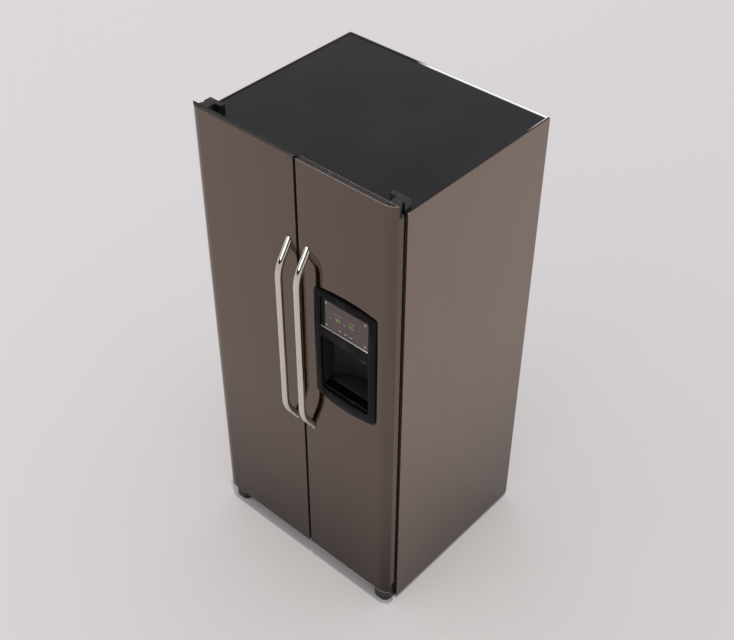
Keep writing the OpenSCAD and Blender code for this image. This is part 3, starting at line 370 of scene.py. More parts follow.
@dataclass(frozen=True)
class BrushedMetal(Finish):
    """Sheet metal with vertical brushing that mirrors what stands round it.

    Attributes:
        tint: Linear colour of the bare metal.
        roughness: Roughness between the brush marks.
        streaks: How much the brushing changes colour and roughness.
        fade: Painted shade: how much darker the metal is made towards the foot.
        fade_top: Height at which that painted shade begins, in metres.
        lean: Painted shade: how much darker it is made for each metre to the right.
    """

    tint: Colour
    roughness: float
    streaks: float = 0.2
    fade: float = 0.0
    fade_top: float = 1.0
    lean: float = 0.0

    def make(self) -> bpy.types.Material:
        """Builds the material."""
        recipe = Recipe(self.name)
        fine = recipe.noise(1400, 2, (1, 1, 0.002))
        coarse = recipe.noise(120, 3, (1, 1, 0.006))
        broad = recipe.noise(9, 2, (1, 1, 0.12))
        smudge = recipe.noise(14, 4)
        # Painted shade: the colour is made darker towards the foot and to the right, standing in
        # for the shaded floor and darker surroundings that the sheet mirrors there.
        foot = ((self.fade_top - recipe.coordinate("Z")) / self.fade_top).within()
        level = 1 + (fine - 0.5) * (0.9 * self.streaks) + (coarse - 0.5) * (0.7 * self.streaks)
        level = level + (broad - 0.5) * (0.4 * self.streaks)
        level = level * (1 - foot**1.6 * self.fade) * (1 - recipe.coordinate("X") * self.lean)
        gloss = self.roughness + (fine - 0.5) * (0.5 * self.streaks * self.roughness)
        gloss = gloss + (smudge - 0.5) * (0.35 * self.roughness)
        return recipe.surface(
            Base_Color=recipe.scaled(self.tint, level),
            Metallic=1.0,
            Roughness=gloss,
            Normal=recipe.bump(fine, 0.035, 0.0002),
        )


@dataclass(frozen=True)
class SatinPaint(Finish):
    """Baked enamel with a slight orange peel and fine dust.

    Attributes:
        colour: Linear colour.
        roughness: Roughness of the clean paint.
        peel: Strength of the orange peel.
        dust: How much pale dust lies on it.
        gleam: How much light its skin throws back; 0.5 is common enamel.
    """

    colour: Colour
    roughness: float = 0.4
    peel: float = 0.08
    dust: float = 0.03
    gleam: float = 0.5

    def make(self) -> bpy.types.Material:
        """Builds the material."""
        recipe = Recipe(self.name)
        peel = recipe.noise(420, 2)
        drift = recipe.noise(5, 4)
        specks = recipe.cells(260)
        film = (drift - 0.35).within() * self.dust + (0.06 - specks).within() * (4 * self.dust)
        return recipe.surface(
            Base_Color=recipe.blend(film, self.colour, (0.55, 0.54, 0.52)),
            Roughness=self.roughness + (drift - 0.5) * 0.12,
            Specular_IOR_Level=self.gleam,
            Normal=recipe.bump(peel, self.peel, 0.0003),
        )


@dataclass(frozen=True)
class Chrome(Finish):
    """Plated metal with faint wiping marks.

    Attributes:
        tint: Linear colour of the plating.
        roughness: Roughness of the clean plating.
    """

    tint: Colour
    roughness: float = 0.06

    def make(self) -> bpy.types.Material:
        """Builds the material."""
        recipe = Recipe(self.name)
        wiping = recipe.noise(60, 4, (1, 1, 0.2))
        pits = recipe.cells(900)
        level = 1 - (wiping - 0.5) * 0.06 - (0.05 - pits).within() * 2
        return recipe.surface(
            Base_Color=recipe.scaled(self.tint, level),
            Metallic=1.0,
            Roughness=self.roughness + (wiping - 0.4).within() * 0.08,
            Normal=recipe.bump(recipe.noise(35, 2), 0.01, 0.001),
        )


@dataclass(frozen=True)
class MouldedPlastic(Finish):
    """Injection-moulded plastic with a fine spark-eroded grain.

    Attributes:
        colour: Linear colour.
        roughness: Roughness of the grain.
        grain: Strength of the grain.
        grain_size: Grains per metre.
        scuffs: How much lighter rubbed places are.
        gleam: How much light its skin throws back; 0.5 is common plastic.
    """

    colour: Colour
    roughness: float = 0.45
    grain: float = 0.15
    grain_size: float = 1500
    scuffs: float = 0.06
    gleam: float = 0.5

    def make(self) -> bpy.types.Material:
        """Builds the material."""
        recipe = Recipe(self.name)
        grain = recipe.cells(self.grain_size)
        cloud = recipe.noise(11, 3)
        rub = (recipe.noise(34, 5) - 0.55).within()
        worn = tuple(c + self.scuffs * (1 - c) for c in self.colour)
        colour = recipe.blend(rub * 3, self.colour, worn)
        return recipe.surface(
            Base_Color=recipe.scaled(colour, 1 + (cloud - 0.5) * 0.08),
            Roughness=self.roughness + (cloud - 0.5) * 0.1 + rub * 0.3,
            Specular_IOR_Level=self.gleam,
            Normal=recipe.bump(grain, self.grain, 0.0003),
        )


@dataclass(frozen=True)
class Glazing(Finish):
    """Clear plastic or glass that shows what lies behind it.

    Attributes:
        colour: Linear colour.
        alpha: How solid it looks.
        roughness: Roughness of its surface.
    """

    colour: Colour
    alpha: float
    roughness: float = 0.08

    def make(self) -> bpy.types.Material:
        """Builds the material."""
        recipe = Recipe(self.name)
        wiping = recipe.noise(22, 4)
        return recipe.surface(
            Base_Color=recipe.scaled(self.colour, 0.95 + wiping * 0.1),
            Roughness=self.roughness + (wiping - 0.45).within() * 0.2,
            Alpha=(self.alpha + (wiping - 0.5) * 0.08).within(),
            Normal=recipe.bump(wiping, 0.02, 0.001),
        )


@dataclass(frozen=True)
class MirrorGlass(Finish):
    """Dark half-mirrored glass over a display.

    Attributes:
        tint: Linear colour of the mirror.
        roughness: Roughness of the glass.
    """

    tint: Colour
    roughness: float = 0.05

    def make(self) -> bpy.types.Material:
        """Builds the material."""
        recipe = Recipe(self.name)
        smear = recipe.noise(30, 5, (1, 1, 0.5))
        return recipe.surface(
            Base_Color=recipe.scaled(self.tint, 1 + (smear - 0.5) * 0.2),
            Metallic=0.9,
            Roughness=self.roughness + (smear - 0.5).within() * 0.25,
            Normal=recipe.bump(smear, 0.004, 0.001),
        )


@dataclass(frozen=True)
class ZincSteel(Finish):
    """Galvanised sheet with its spangle and dull patches.

    Attributes:
        tint: Linear colour.
        roughness: Roughness of the plating.
        spangle: How much the crystals differ.
    """

    tint: Colour
    roughness: float = 0.4
    spangle: float = 0.18

    def make(self) -> bpy.types.Material:
        """Builds the material."""
        recipe = Recipe(self.name)
        crystals = recipe.cells(130)
        patches = recipe.noise(8, 5)
        level = 1 + (crystals - 0.4) * self.spangle + (patches - 0.5) * 0.3
        return recipe.surface(
            Base_Color=recipe.scaled(self.tint, level),
            Metallic=0.9,
            Roughness=self.roughness + (crystals - 0.4) * 0.2 + (patches - 0.5) * 0.15,
            Normal=recipe.bump(recipe.noise(500, 2), 0.05, 0.0002),
        )


@dataclass(frozen=True)
class Rubber(Finish):
    """Soft matt seal with faint flow lines and chalking.

    Attributes:
        colour: Linear colour.
        chalking: How pale the chalked places are.
    """

    colour: Colour
    chalking: float = 0.5

    def make(self) -> bpy.types.Material:
        """Builds the material."""
        recipe = Recipe(self.name)
        flow = recipe.noise(300, 3, (1, 1, 0.05))
        chalk = (recipe.noise(25, 5) - 0.5).within()
        return recipe.surface(
            Base_Color=recipe.blend(chalk * self.chalking, self.colour, (0.3, 0.3, 0.3)),
            Roughness=0.65 + chalk * 0.5,
            Normal=recipe.bump(flow, 0.1, 0.0003),
        )


@dataclass(frozen=True)
class RimPolish(Finish):
    """Rolled sheet edge, dark along most of its length, with a painted highlight on one stretch.

    Attributes:
        axis: The axis that the edge runs along.
        start: Where the painted highlight begins, in metres.
        full: Where the painted highlight is at full strength, in metres.
        roughness: Roughness of the edge.
    """

    axis: str
    start: float
    full: float
    roughness: float = 0.4

    def make(self) -> bpy.types.Material:
        """Builds the material."""
        recipe = Recipe(self.name)
        along = recipe.coordinate(self.axis)
        # Painted highlight: past the start the edge turns near-white and mostly non-metallic,
        # standing in for a light's reflection on the rounded rim.
        share = ((along - self.start) / (self.full - self.start)).within()
        grain = recipe.noise(240, 3)
        colour = recipe.blend(share, (0.03, 0.028, 0.028), (0.96, 0.95, 0.94))
        return recipe.surface(
            Base_Color=recipe.scaled(colour, 0.96 + grain * 0.08),
            Metallic=1 - share * 0.85,
            Roughness=self.roughness + (grain - 0.5) * 0.1,
            Normal=recipe.bump(grain, 0.02, 0.0002),
        )


@dataclass(frozen=True)
class Glow(Finish):
    """Lit or printed marks on the display.

    Attributes:
        colour: Linear colour.
        power: Strength of its light; 0 for print.
    """

    colour: Colour
    power: float = 0.0

    def make(self) -> bpy.types.Material:
        """Builds the material."""
        recipe = Recipe(self.name)
        mottle = recipe.noise(700, 2)
        colour = recipe.scaled(self.colour, 0.85 + mottle * 0.3)
        return recipe.surface(
            Base_Color=colour,
            Roughness=0.4 + (mottle - 0.5) * 0.2,
            Emission_Color=colour,
            Emission_Strength=self.power,
            Normal=recipe.bump(mottle, 0.03, 0.0001),
        )


class Palette:
    """Every finish of the refrigerator, each made once and looked up by its slot."""

    FINISHES = {
        # door_steel and case_paint carry painted shade: darker towards the foot, and the door sheet
        # also darker to the right.
        "door_steel": BrushedMetal("door_sheet", (0.152, 0.115, 0.0965), 0.04, 0.11, 0.76, 0.8,
                                   0.2),
        "case_paint": BrushedMetal("case_sheet", (0.258, 0.203, 0.172), 0.22, 0.16, 0.62, 1.1),
        "top_paint": SatinPaint("top_enamel", tone(17, 17, 20), 0.36, 0.08, 0.03, 0.2),
        "grey_steel": ZincSteel("zinc_sheet", (0.34, 0.34, 0.34), 0.42),
        "black_paint": SatinPaint("black_enamel", tone(26, 26, 27), 0.35, 0.12, 0.05),
        "bracket_steel": ZincSteel("bracket_zinc", (0.5, 0.49, 0.46), 0.3, 0.08),
        "wire_steel": SatinPaint("wire_coat", tone(214, 214, 212), 0.3, 0.02, 0.0),
        "auger_steel": BrushedMetal("auger_sheet", (0.5, 0.5, 0.5), 0.25, 0.3),
        "handle_chrome": Chrome("handle_plating", (0.68, 0.63, 0.59), 0.03),
        "dark_plastic": MouldedPlastic("dark_moulding", tone(17, 16, 16), 0.42),
        "cap_plastic": MouldedPlastic("cap_moulding", tone(24, 23, 23), 0.5),
        "roller_plastic": MouldedPlastic("roller_moulding", tone(58, 58, 60), 0.5),
        "gloss_black": MouldedPlastic("fascia_moulding", tone(11, 10, 9), 0.38, 0.03, 2600, 0.01,
                                      0.08),
        "display_glass": MirrorGlass("display_mirror", (0.115, 0.093, 0.088)),
        "liner_plastic": MouldedPlastic("liner_moulding", tone(226, 227, 225), 0.35, 0.04),
        "trim_plastic": MouldedPlastic("trim_moulding", tone(196, 198, 200), 0.3, 0.05),
        "basket_plastic": MouldedPlastic("basket_moulding", tone(222, 225, 228), 0.35, 0.05),
        "clear_plastic": Glazing("clear_moulding", tone(216, 224, 227), 0.42),
        "shelf_glass": Glazing("shelf_pane", tone(176, 205, 198), 0.34, 0.03),
        "gasket_rubber": Rubber("gasket_vinyl", tone(40, 40, 41)),
        "seal_black": Rubber("trim_vinyl", tone(9, 9, 9), 0.02),
        "bezel_black": MouldedPlastic("bezel_moulding", tone(8, 8, 8), 0.4, 0.03, 2600, 0.01, 0.12),
        # Copies of the dark plastic for the dispenser's well: lighter ones as painted light in the
        # dim recess, a darker one on the tray as painted shade.
        "well_black": MouldedPlastic("well_moulding", tone(40, 38, 39), 0.5, 0.05, 2600, 0.02, 0.2),
        "step_black": MouldedPlastic("step_moulding", tone(50, 47, 49), 0.5, 0.05, 2600, 0.02, 0.2),
        "tray_black": MouldedPlastic("tray_moulding", tone(6, 6, 6), 0.5, 0.05, 2600, 0.02, 0.1),
        # Lighter and darker copies of the door-edge metal: painted highlight and painted shade.
        "edge_bright": Chrome("edge_polish", (0.5, 0.46, 0.43), 0.2),
        "edge_dim": Chrome("edge_satin", (0.1, 0.09, 0.085), 0.25),
        # Near-white chrome: the display's lip, and a painted highlight on the case's front corner.
        "lip_bright": Chrome("lip_polish", (0.98, 0.97, 0.96), 0.3),
        "chrome_trim": Chrome("collar_plating", (0.1, 0.1, 0.1), 0.2),
        # The rims' finishes carry a painted highlight along part of their length.
        "rim_polish": RimPolish("rear_rim_sheet", "X", -0.115, -0.06),
        "rim_polish_y": RimPolish("side_rim_sheet", "Y", 0.285, 0.33),
        "copper": ZincSteel("copper_pipe", (0.72, 0.32, 0.19), 0.3, 0.1),
        "brass": ZincSteel("brass_fitting", (0.68, 0.5, 0.22), 0.3, 0.05),
        "print_white": Glow("white_print", tone(214, 208, 200), 0.25),
        "print_dim": Glow("dim_print", tone(128, 120, 112), 0.15),
        "print_olive": Glow("olive_print", tone(140, 136, 104), 0.15),
        "digit_lime": Glow("lime_digit", tone(140, 158, 52), 0.5),
        "digit_green": Glow("green_digit", tone(70, 132, 50), 0.5),
        "lamp_lens": Glow("lamp_lens", tone(235, 236, 230), 0.1),
        "lens_dark": MouldedPlastic("smoke_lens", tone(26, 26, 28), 0.2, 0.03),
        "tray_bead": MouldedPlastic("bead_moulding", tone(46, 44, 44), 0.3, 0.05),
        "cable": Rubber("cable_sleeve", tone(30, 30, 32)),
    }
    OWN = {
        # The well's housing takes a lighter copy of the dark plastic as painted light, the drip
        # tray a darker copy as painted shade.
        "dispenser_housing": "well_black", "drip_tray": "tray_black",
        "hinge_top_left": "black_paint", "hinge_top_right": "black_paint",
    }

    def __init__(self) -> None:
        """Makes every finish."""
        self._made = {key: finish.make() for key, finish in self.FINISHES.items()}

    def __getitem__(self, key: str) -> bpy.types.Material:
        """The material of one slot."""
        return self._made[key]

    def dress(self, nodes: Iterable[bpy.types.Object]) -> None:
        """Gives each solid the finish that its slot, or its own entry, names."""
        for node in nodes:
            for slot in node.material_slots:
                slot.material = self[self.OWN.get(node.name, slot.material.name)]


# ---------- shapes ----------


def placed(name: str, data: bpy.types.ID) -> bpy.types.Object:
    """Puts an object with a mesh, curve, lamp or camera in the scene.

    Args:
        name: The object's name.
        data: What it holds.

    Returns:
        The object.
    """
    made = bpy.data.objects.new(name, data)
    bpy.context.scene.collection.objects.link(made)
    return made


def captured(host: bpy.types.Object) -> bpy.types.Mesh:
    """Keeps what an object turns into and removes the object.

    Args:
        host: The object.

    Returns:
        The result as a plain mesh.
    """
    bpy.context.view_layer.update()
    graph = bpy.context.evaluated_depsgraph_get()
    mesh = bpy.data.meshes.new_from_object(host.evaluated_get(graph), depsgraph=graph)
    bpy.data.objects.remove(host, do_unlink=True)
    return mesh


def finished(bm: bmesh.types.BMesh, name: str) -> bpy.types.Mesh:
    """Turns a mesh in the making into a plain one and frees it.

    Args:
        bm: The mesh in the making.
        name: The plain mesh's name.

    Returns:
        The plain mesh.
    """
    mesh = bpy.data.meshes.new(name)
    bm.to_mesh(mesh)
    bm.free()
    return mesh


def rounded(bm: bmesh.types.BMesh, edges: Sequence[bmesh.types.BMEdge], width: float,
            steps: int) -> None:
    """Rounds edges of a mesh in the making.

    Args:
        bm: The mesh in the making.
        edges: The edges.
        width: Radius of the rounding.
        steps: Faces across each edge.
    """
    bmesh.ops.bevel(bm, geom=edges, offset=width, segments=steps, profile=0.5, affect="EDGES",
                    clamp_overlap=True)


class Shape:
    """A mesh in the making, from bevelled blocks, turned profiles and extruded outlines."""

    def __init__(self) -> None:
        """Starts empty."""
        self.bm = bmesh.new()

    def _take(self, part: bmesh.types.BMesh, place: Optional[Matrix] = None) -> "Shape":
        """Adds another mesh to this one and frees it.

        Args:
            part: The mesh.
            place: Where it goes.

        Returns:
            This shape.
        """
        carrier = finished(part, "part")
        if place is not None:
            carrier.transform(place)
        self.bm.from_mesh(carrier)
        bpy.data.meshes.remove(carrier)
        return self

    def block(self, low: Point, high: Point, bevel: float = 0.0006, steps: int = 2) -> "Shape":
        """Adds a block with rounded edges.

        Args:
            low: Its lowest corner.
            high: Its highest corner.
            bevel: Radius of its edges.
            steps: Faces across each edge.

        Returns:
            This shape.
        """
        low, high = Vector(low), Vector(high)
        part = bmesh.new()
        bmesh.ops.create_cube(part, size=1.0)
        size = high - low
        bmesh.ops.scale(part, vec=size, verts=part.verts)
        bmesh.ops.translate(part, vec=(low + high) / 2, verts=part.verts)
        rounded(part, part.edges[:], min(bevel, min(size) * 0.45), steps)
        return self._take(part)

    def turned(
        self, profile: Sequence[tuple[float, float]], base: Point, axis: Axis, sides: int = 32
    ) -> "Shape":
        """Adds a solid of revolution.

        Args:
            profile: Radius and height of each ring; where the last is the first, a closed loop.
            base: Where height 0 lies.
            axis: The direction of the heights.
            sides: Faces round it.

        Returns:
            This shape.
        """
        part = bmesh.new()
        rings = []
        for radius, height in profile:
            if radius < 1e-7:
                rings.append([part.verts.new((0, 0, height))])
                continue
            angles = [2 * math.pi * i / sides for i in range(sides)]
            points = [(radius * math.cos(a), radius * math.sin(a), height) for a in angles]
            rings.append([part.verts.new(point) for point in points])
        closed = profile[0] == profile[-1]
        if closed:
            rings[-1] = rings[0]
        for lower, upper in zip(rings, rings[1:]):
            for i in range(sides):
                corners = [lower[i % len(lower)], lower[(i + 1) % len(lower)]]
                corners += [upper[(i + 1) % len(upper)], upper[i % len(upper)]]
                unique = list(dict.fromkeys(corners))
                if len(unique) > 2:
                    part.faces.new(unique)
        for ring in () if closed else (rings[0], rings[-1]):
            if len(ring) > 2:
                part.faces.new(ring)
        bmesh.ops.delete(part, geom=[v for v in part.verts if not v.link_faces], context="VERTS")
        bmesh.ops.recalc_face_normals(part, faces=part.faces)
        return self._take(part, Matrix.Translation(Vector(base)) @ axis.turn())

    def extruded(
        self, outline: Sequence[tuple[float, float]], depth: float, place: Matrix,
        bevel: float = 0.0,
    ) -> "Shape":
        """Adds a flat outline given a depth.

        Args:
            outline: Its corners in the XY plane, in order.
            depth: How far it goes along +Z.
            place: Where it goes.
            bevel: Radius of its edges.

        Returns:
            This shape.
        """
        part = bmesh.new()
        face = part.faces.new([part.verts.new((x, y, 0)) for x, y in outline])
        grown = bmesh.ops.extrude_face_region(part, geom=[face])["geom"]
        top = [g for g in grown if isinstance(g, bmesh.types.BMVert)]
        bmesh.ops.translate(part, vec=(0, 0, depth), verts=top)
        bmesh.ops.recalc_face_normals(part, faces=part.faces)
        if bevel:
            rounded(part, part.edges[:], bevel, 2)
        return self._take(part, place)

    def mesh(self, name: str) -> bpy.types.Mesh:
        """Ends the shape as a plain mesh of that name."""
        return finished(self.bm, name)


def wire(points: Sequence[Point], edges: Sequence[tuple[int, int]] = ()) -> bpy.types.Mesh:
    """A mesh of loose points and the edges that join them.

    Args:
        points: The points.
        edges: Pairs of points, by number.

    Returns:
        The mesh.
    """
    mesh = bpy.data.meshes.new("wire")
    mesh.from_pydata([tuple(p) for p in points], edges, [])
    return mesh


def settle(
    name: str,
    mesh: bpy.types.Mesh,
    material: Optional[bpy.types.Material],
    body: str,
    smooth: float = 32.0,
) -> bpy.types.Object:
    """Makes a piece of a mesh and lets it ride on a body.

    Args:
        name: The piece's name.
        mesh: Its mesh, in place.
        material: Its finish, or None where the mesh has one.
        body: The body it moves with.
        smooth: Angle in degrees above which an edge stays crisp.

    Returns:
        The piece.
    """
    if material is not None:
        mesh.materials.clear()
        mesh.materials.append(material)
    mesh.shade_smooth()
    mesh.set_sharp_from_angle(angle=math.radians(smooth))
    piece = placed(name, mesh)
    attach(piece, body)
    LOG.info("piece %s on %s: %d faces", name, body, len(mesh.polygons))
    return piece


def softened(node: str, width: float, steps: int = 2, angle: float = 35.0) -> bpy.types.Mesh:
    """A copy of a solid with its edges rounded.

    Args:
        node: The solid's node.
        width: Radius of the edges.
        steps: Faces across each edge.
        angle: Edges that turn more than this many degrees are rounded.

    Returns:
        The rounded mesh.
    """
    bm = bmesh.new()
    bm.from_mesh(NODES[node].data)
    bmesh.ops.remove_doubles(bm, verts=bm.verts, dist=2e-6)
    limit = math.radians(1.0)
    bmesh.ops.dissolve_limit(bm, angle_limit=limit, verts=bm.verts, edges=bm.edges)
    sharp = [
        e for e in bm.edges if len(e.link_faces) == 2 and e.calc_face_angle(0) > math.radians(angle)
    ]
    rounded(bm, sharp, width, steps)
    return finished(bm, node + "_soft")


# ---------- geometry nodes ----------


class Maker(Graph):
    """A Geometry Nodes tree with named inputs, run on a mesh and baked."""

    def __init__(self, name: str, inputs: dict[str, tuple[str, object]]) -> None:
        """Makes the tree's sockets.

        Args:
            name: The tree's name.
            inputs: Socket type and first value of each named input.
        """
        super().__init__(bpy.data.node_groups.new(name, "GeometryNodeTree"))
        sockets = self.tree.interface
        sockets.new_socket("Geometry", in_out="INPUT", socket_type="NodeSocketGeometry")
        for title, (kind, value) in inputs.items():
            socket = sockets.new_socket(title, in_out="INPUT", socket_type="NodeSocket" + kind)
            if value is not None:
                socket.default_value = value
        sockets.new_socket("Material", in_out="INPUT", socket_type="NodeSocketMaterial")
        sockets.new_socket("Geometry", in_out="OUTPUT", socket_type="NodeSocketGeometry")
        self.given = self.node("NodeGroupInput").outputs

    def close(self, geometry: Feed) -> None:
        """Ends the tree in Realize Instances and Set Material."""
        real = self.node("GeometryNodeRealizeInstances", {}, {"Geometry": geometry})
        dressed = {"Geometry": real, "Material": self.given["Material"]}
        painted = self.node("GeometryNodeSetMaterial", {}, dressed)
        self.node("NodeGroupOutput", {}, {0: painted})

    def bake(
        self, mesh: bpy.types.Mesh, material: bpy.types.Material, **values: object
    ) -> bpy.types.Mesh:
        """Runs the tree on a mesh.

        Args:
            mesh: The host mesh.
            material: The finish of the result.
            values: Named inputs, with underscores for the spaces in their names.

        Returns:
            The result as a plain mesh.
        """
        host = placed("host", mesh)
        modifier = host.modifiers.new("maker", "NODES")
        modifier.node_group = self.tree
        keys = {
            item.name: item.identifier
            for item in self.tree.interface.items_tree
            if item.item_type == "SOCKET" and item.in_out == "INPUT"
        }
        for title, value in values.items():
            modifier[keys[title.replace("_", " ")]] = value
        modifier[keys["Material"]] = material
        return captured(host)


class Makers:
    """The Geometry Nodes trees that repeat units, run tubes along paths and set screws."""

    def __init__(self) -> None:
        """Builds the trees."""
        self.repeat = self._repeat()
        self.tube = self._tube()
        self.screws = self._screws()

    @staticmethod
    def _repeat() -> Maker:
        """Repeats the host mesh in a row.

        Returns:
            The tree.
        """
        maker = Maker("Repeat", {"Count": ("Int", 1), "Offset": ("Vector", (0, 0, 0))})
        line = maker.node("GeometryNodeMeshLine", {"mode": "OFFSET"}, {
            "Count": maker.given["Count"], "Offset": maker.given["Offset"],
        })
        copies = {"Points": line, "Instance": maker.given["Geometry"]}
        maker.close(maker.node("GeometryNodeInstanceOnPoints", {}, copies))
        return maker

    @staticmethod
    def _tube() -> Maker:
        """Runs a round tube along the host's edges, with rounded bends.

        Returns:
            The tree.
        """
        maker = Maker("PathTube", {
            "Radius": ("Float", 0.004), "Bend Radius": ("Float", 0.0), "Sides": ("Int", 12),
        })
        path = maker.node("GeometryNodeMeshToCurve", {}, {"Mesh": maker.given["Geometry"]})
        path = maker.node("GeometryNodeFilletCurve", {"mode": "POLY"}, {
            "Curve": path, "Count": 8, "Radius": maker.given["Bend Radius"], "Limit Radius": True,
        })
        ring = maker.node("GeometryNodeCurvePrimitiveCircle", {}, {
            "Resolution": maker.given["Sides"], "Radius": maker.given["Radius"],
        })
        sweep = {"Curve": path, "Profile Curve": ring.outputs["Curve"], "Fill Caps": True}
        maker.close(maker.node("GeometryNodeCurveToMesh", {}, sweep))
        return maker

    @staticmethod
    def _screws() -> Maker:
        """Sets a pan-head screw with a recess on each of the host's points.

        Returns:
            The tree.
        """
        maker = Maker("Screws", {
            "Head Radius": ("Float", 0.004), "Head Height": ("Float", 0.0016),
            "Facing": ("Vector", (0, 0, 1)),
        })
        radius = Value(maker, maker.given["Head Radius"])
        height = Value(maker, maker.given["Head Height"])
        head = maker.node("GeometryNodeMeshCone", {"fill_type": "NGON"}, {
            "Vertices": 20, "Radius Top": radius * 0.78, "Radius Bottom": radius, "Depth": height,
        })
        inner = maker.node("GeometryNodeExtrudeMesh", {"mode": "FACES"}, {
            "Mesh": head.outputs["Mesh"], "Selection": head.outputs["Top"], "Offset Scale": 0.0,
        })
        shrunk = maker.node("GeometryNodeScaleElements", {}, {
            "Geometry": inner.outputs["Mesh"], "Selection": inner.outputs["Top"], "Scale": 0.5,
        })
        sunk = maker.node("GeometryNodeExtrudeMesh", {"mode": "FACES"}, {
            "Mesh": shrunk, "Selection": inner.outputs["Top"], "Offset Scale": height * -0.6,
        })
        facing = maker.node("FunctionNodeAlignRotationToVector", {"axis": "Z"}, {
            "Vector": maker.given["Facing"],
        })
        maker.close(maker.node("GeometryNodeInstanceOnPoints", {}, {
            "Points": maker.given["Geometry"], "Instance": sunk.outputs["Mesh"], "Rotation": facing,
        }))
        return maker


@dataclass
class Assembly:
    """A group of pieces that are made in the same way and ride on the bodies.

    Attributes:
        palette: The finishes.
        makers: The Geometry Nodes trees.
    """

    palette: Palette
    makers: Makers

    def piece(
        self, name: str, shape: Shape, finish: str, slot: str, body: str = "cabinet"
    ) -> None:
        """Ends a shape as a piece.

        Args:
            name: The piece's name.
            shape: The shape.
            finish: Its finish.
            slot: The record's slot for its finish; not used.
            body: The body it moves with.
        """
        settle(name, shape.mesh(name), self.palette[finish], body)

    def tube(
        self, name: str, path: Sequence[Point], radius: float, bend: float, finish: str, slot: str,
        body: str = "cabinet", closed: bool = False, sides: int = 12,
    ) -> None:
        """Makes a round tube along a path.

        Args:
            name: The piece's name.
            path: The path's points.
            radius: The tube's radius.
            bend: Radius of its bends.
            finish: Its finish.
            slot: The record's slot for its finish; not used.
            body: The body it moves with.
            closed: Whether the path closes.
            sides: Faces round the tube.
        """
        edges = [(i, i + 1) for i in range(len(path) - 1)] + [(len(path) - 1, 0)] * closed
        mesh = self.makers.tube.bake(
            wire(path, edges), self.palette[finish], Radius=radius, Bend_Radius=bend, Sides=sides
        )
        settle(name, mesh, None, body, 50)

    def screws(
        self, name: str, points: Sequence[Point], axis: Axis, radius: float, finish: str, slot: str,
        body: str = "cabinet",
    ) -> None:
        """Sets screw heads on points.

        Args:
            name: The piece's name.
            points: Where the heads sit.
            axis: The direction they face.
            radius: Radius of a head.
            finish: Their finish.
            slot: The record's slot for their finish; not used.
            body: The body they move with.
        """
        mesh = self.makers.screws.bake(
            wire(points), self.palette[finish], Head_Radius=radius, Head_Height=radius * 0.45,
            Facing=axis.value,
        )
        settle(name, mesh, None, body, 25)

    def grid(
        self, name: str, unit: Shape, finish: str, slot: str, count: int, step: Point,
        body: str = "cabinet",
    ) -> None:
        """Repeats a shape in a row.

        Args:
            name: The piece's name.
            unit: The shape, at the first place.
            finish: Its finish.
            slot: The record's slot for its finish; not used.
            count: How many there are.
            step: From one to the next.
            body: The body they move with.
        """
        mesh = self.makers.repeat.bake(
            unit.mesh(name), self.palette[finish], Count=count, Offset=tuple(step)
        )
        settle(name, mesh, None, body)

    def recast(
        self, node: str, width: float, body: str, steps: int = 2, angle: float = 35.0
    ) -> None:
        """Stands a copy with rounded edges in for a solid.

        Args:
            node: The solid's node.
            width: Radius of the edges.
            body: The body it moves with.
            steps: Faces across each edge.
            angle: Edges that turn more than this many degrees are rounded.
        """
        mesh = softened(node, width, steps, angle)
        slot = SLOT_OF[node]
        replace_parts(settle(node + "_rounded", mesh, self.palette[slot], body, 40), node)

    def drawer_trim(self, node: str, body: str) -> None:
        """Lays a trim with grip lines along the upper front edge of a drawer.

        Args:
            node: The drawer's node.
            body: The body it moves with.
        """
        low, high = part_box(node)
        top = high.z - 24 * MM
        bar = Shape().block((low.x + 6 * MM, low.y - 3 * MM, top - 24 * MM),
                            (high.x - 6 * MM, low.y + 1 * MM, top), 1.5 * MM, 3)
        self.piece(node + "_trim", bar, "trim_plastic", "trim_plastic", body)
        middle = (low.x + high.x) / 2
        grip = Shape().block((middle - 62 * MM, low.y - 3.8 * MM, top - 17 * MM),
                             (middle + 62 * MM, low.y - 2.4 * MM, top - 14.6 * MM), 0.6 * MM)
        self.grid(node + "_grip_lines", grip, "tray_bead", "trim_plastic", 3, (0, 0, 4.4 * MM),
                  body)


def areas(node: str, axis: int, digits: int) -> dict[float, float]:
    """Adds up the faces of a solid that look along an axis.

    Args:
        node: The solid's node.
        axis: 0 for x, 1 for y and 2 for z.
        digits: Decimals of a metre that tell two places apart.

    Returns:
        Their area at each place on the axis.
    """
    sums: dict[float, float] = {}
    for face in NODES[node].data.polygons:
        if face.normal[axis] > 0.99:
            place = round(face.center[axis], digits)
            sums[place] = sums.get(place, 0.0) + face.area
    return sums


def rear_face(node: str) -> float:
    """The y of the rear sheet of a node, which most of its area lies on."""
    sums = areas(node, 1, 5)
    return max(sums, key=lambda y: sums[y])


def levels(node: str) -> list[float]:
    """Heights of the upper faces of a node's shelves, from the lowest."""
    sums = areas(node, 2, 4)
    return sorted(z for z, area in sums.items() if area > 0.5 * max(sums.values()))


# ---------- sub-assemblies ----------


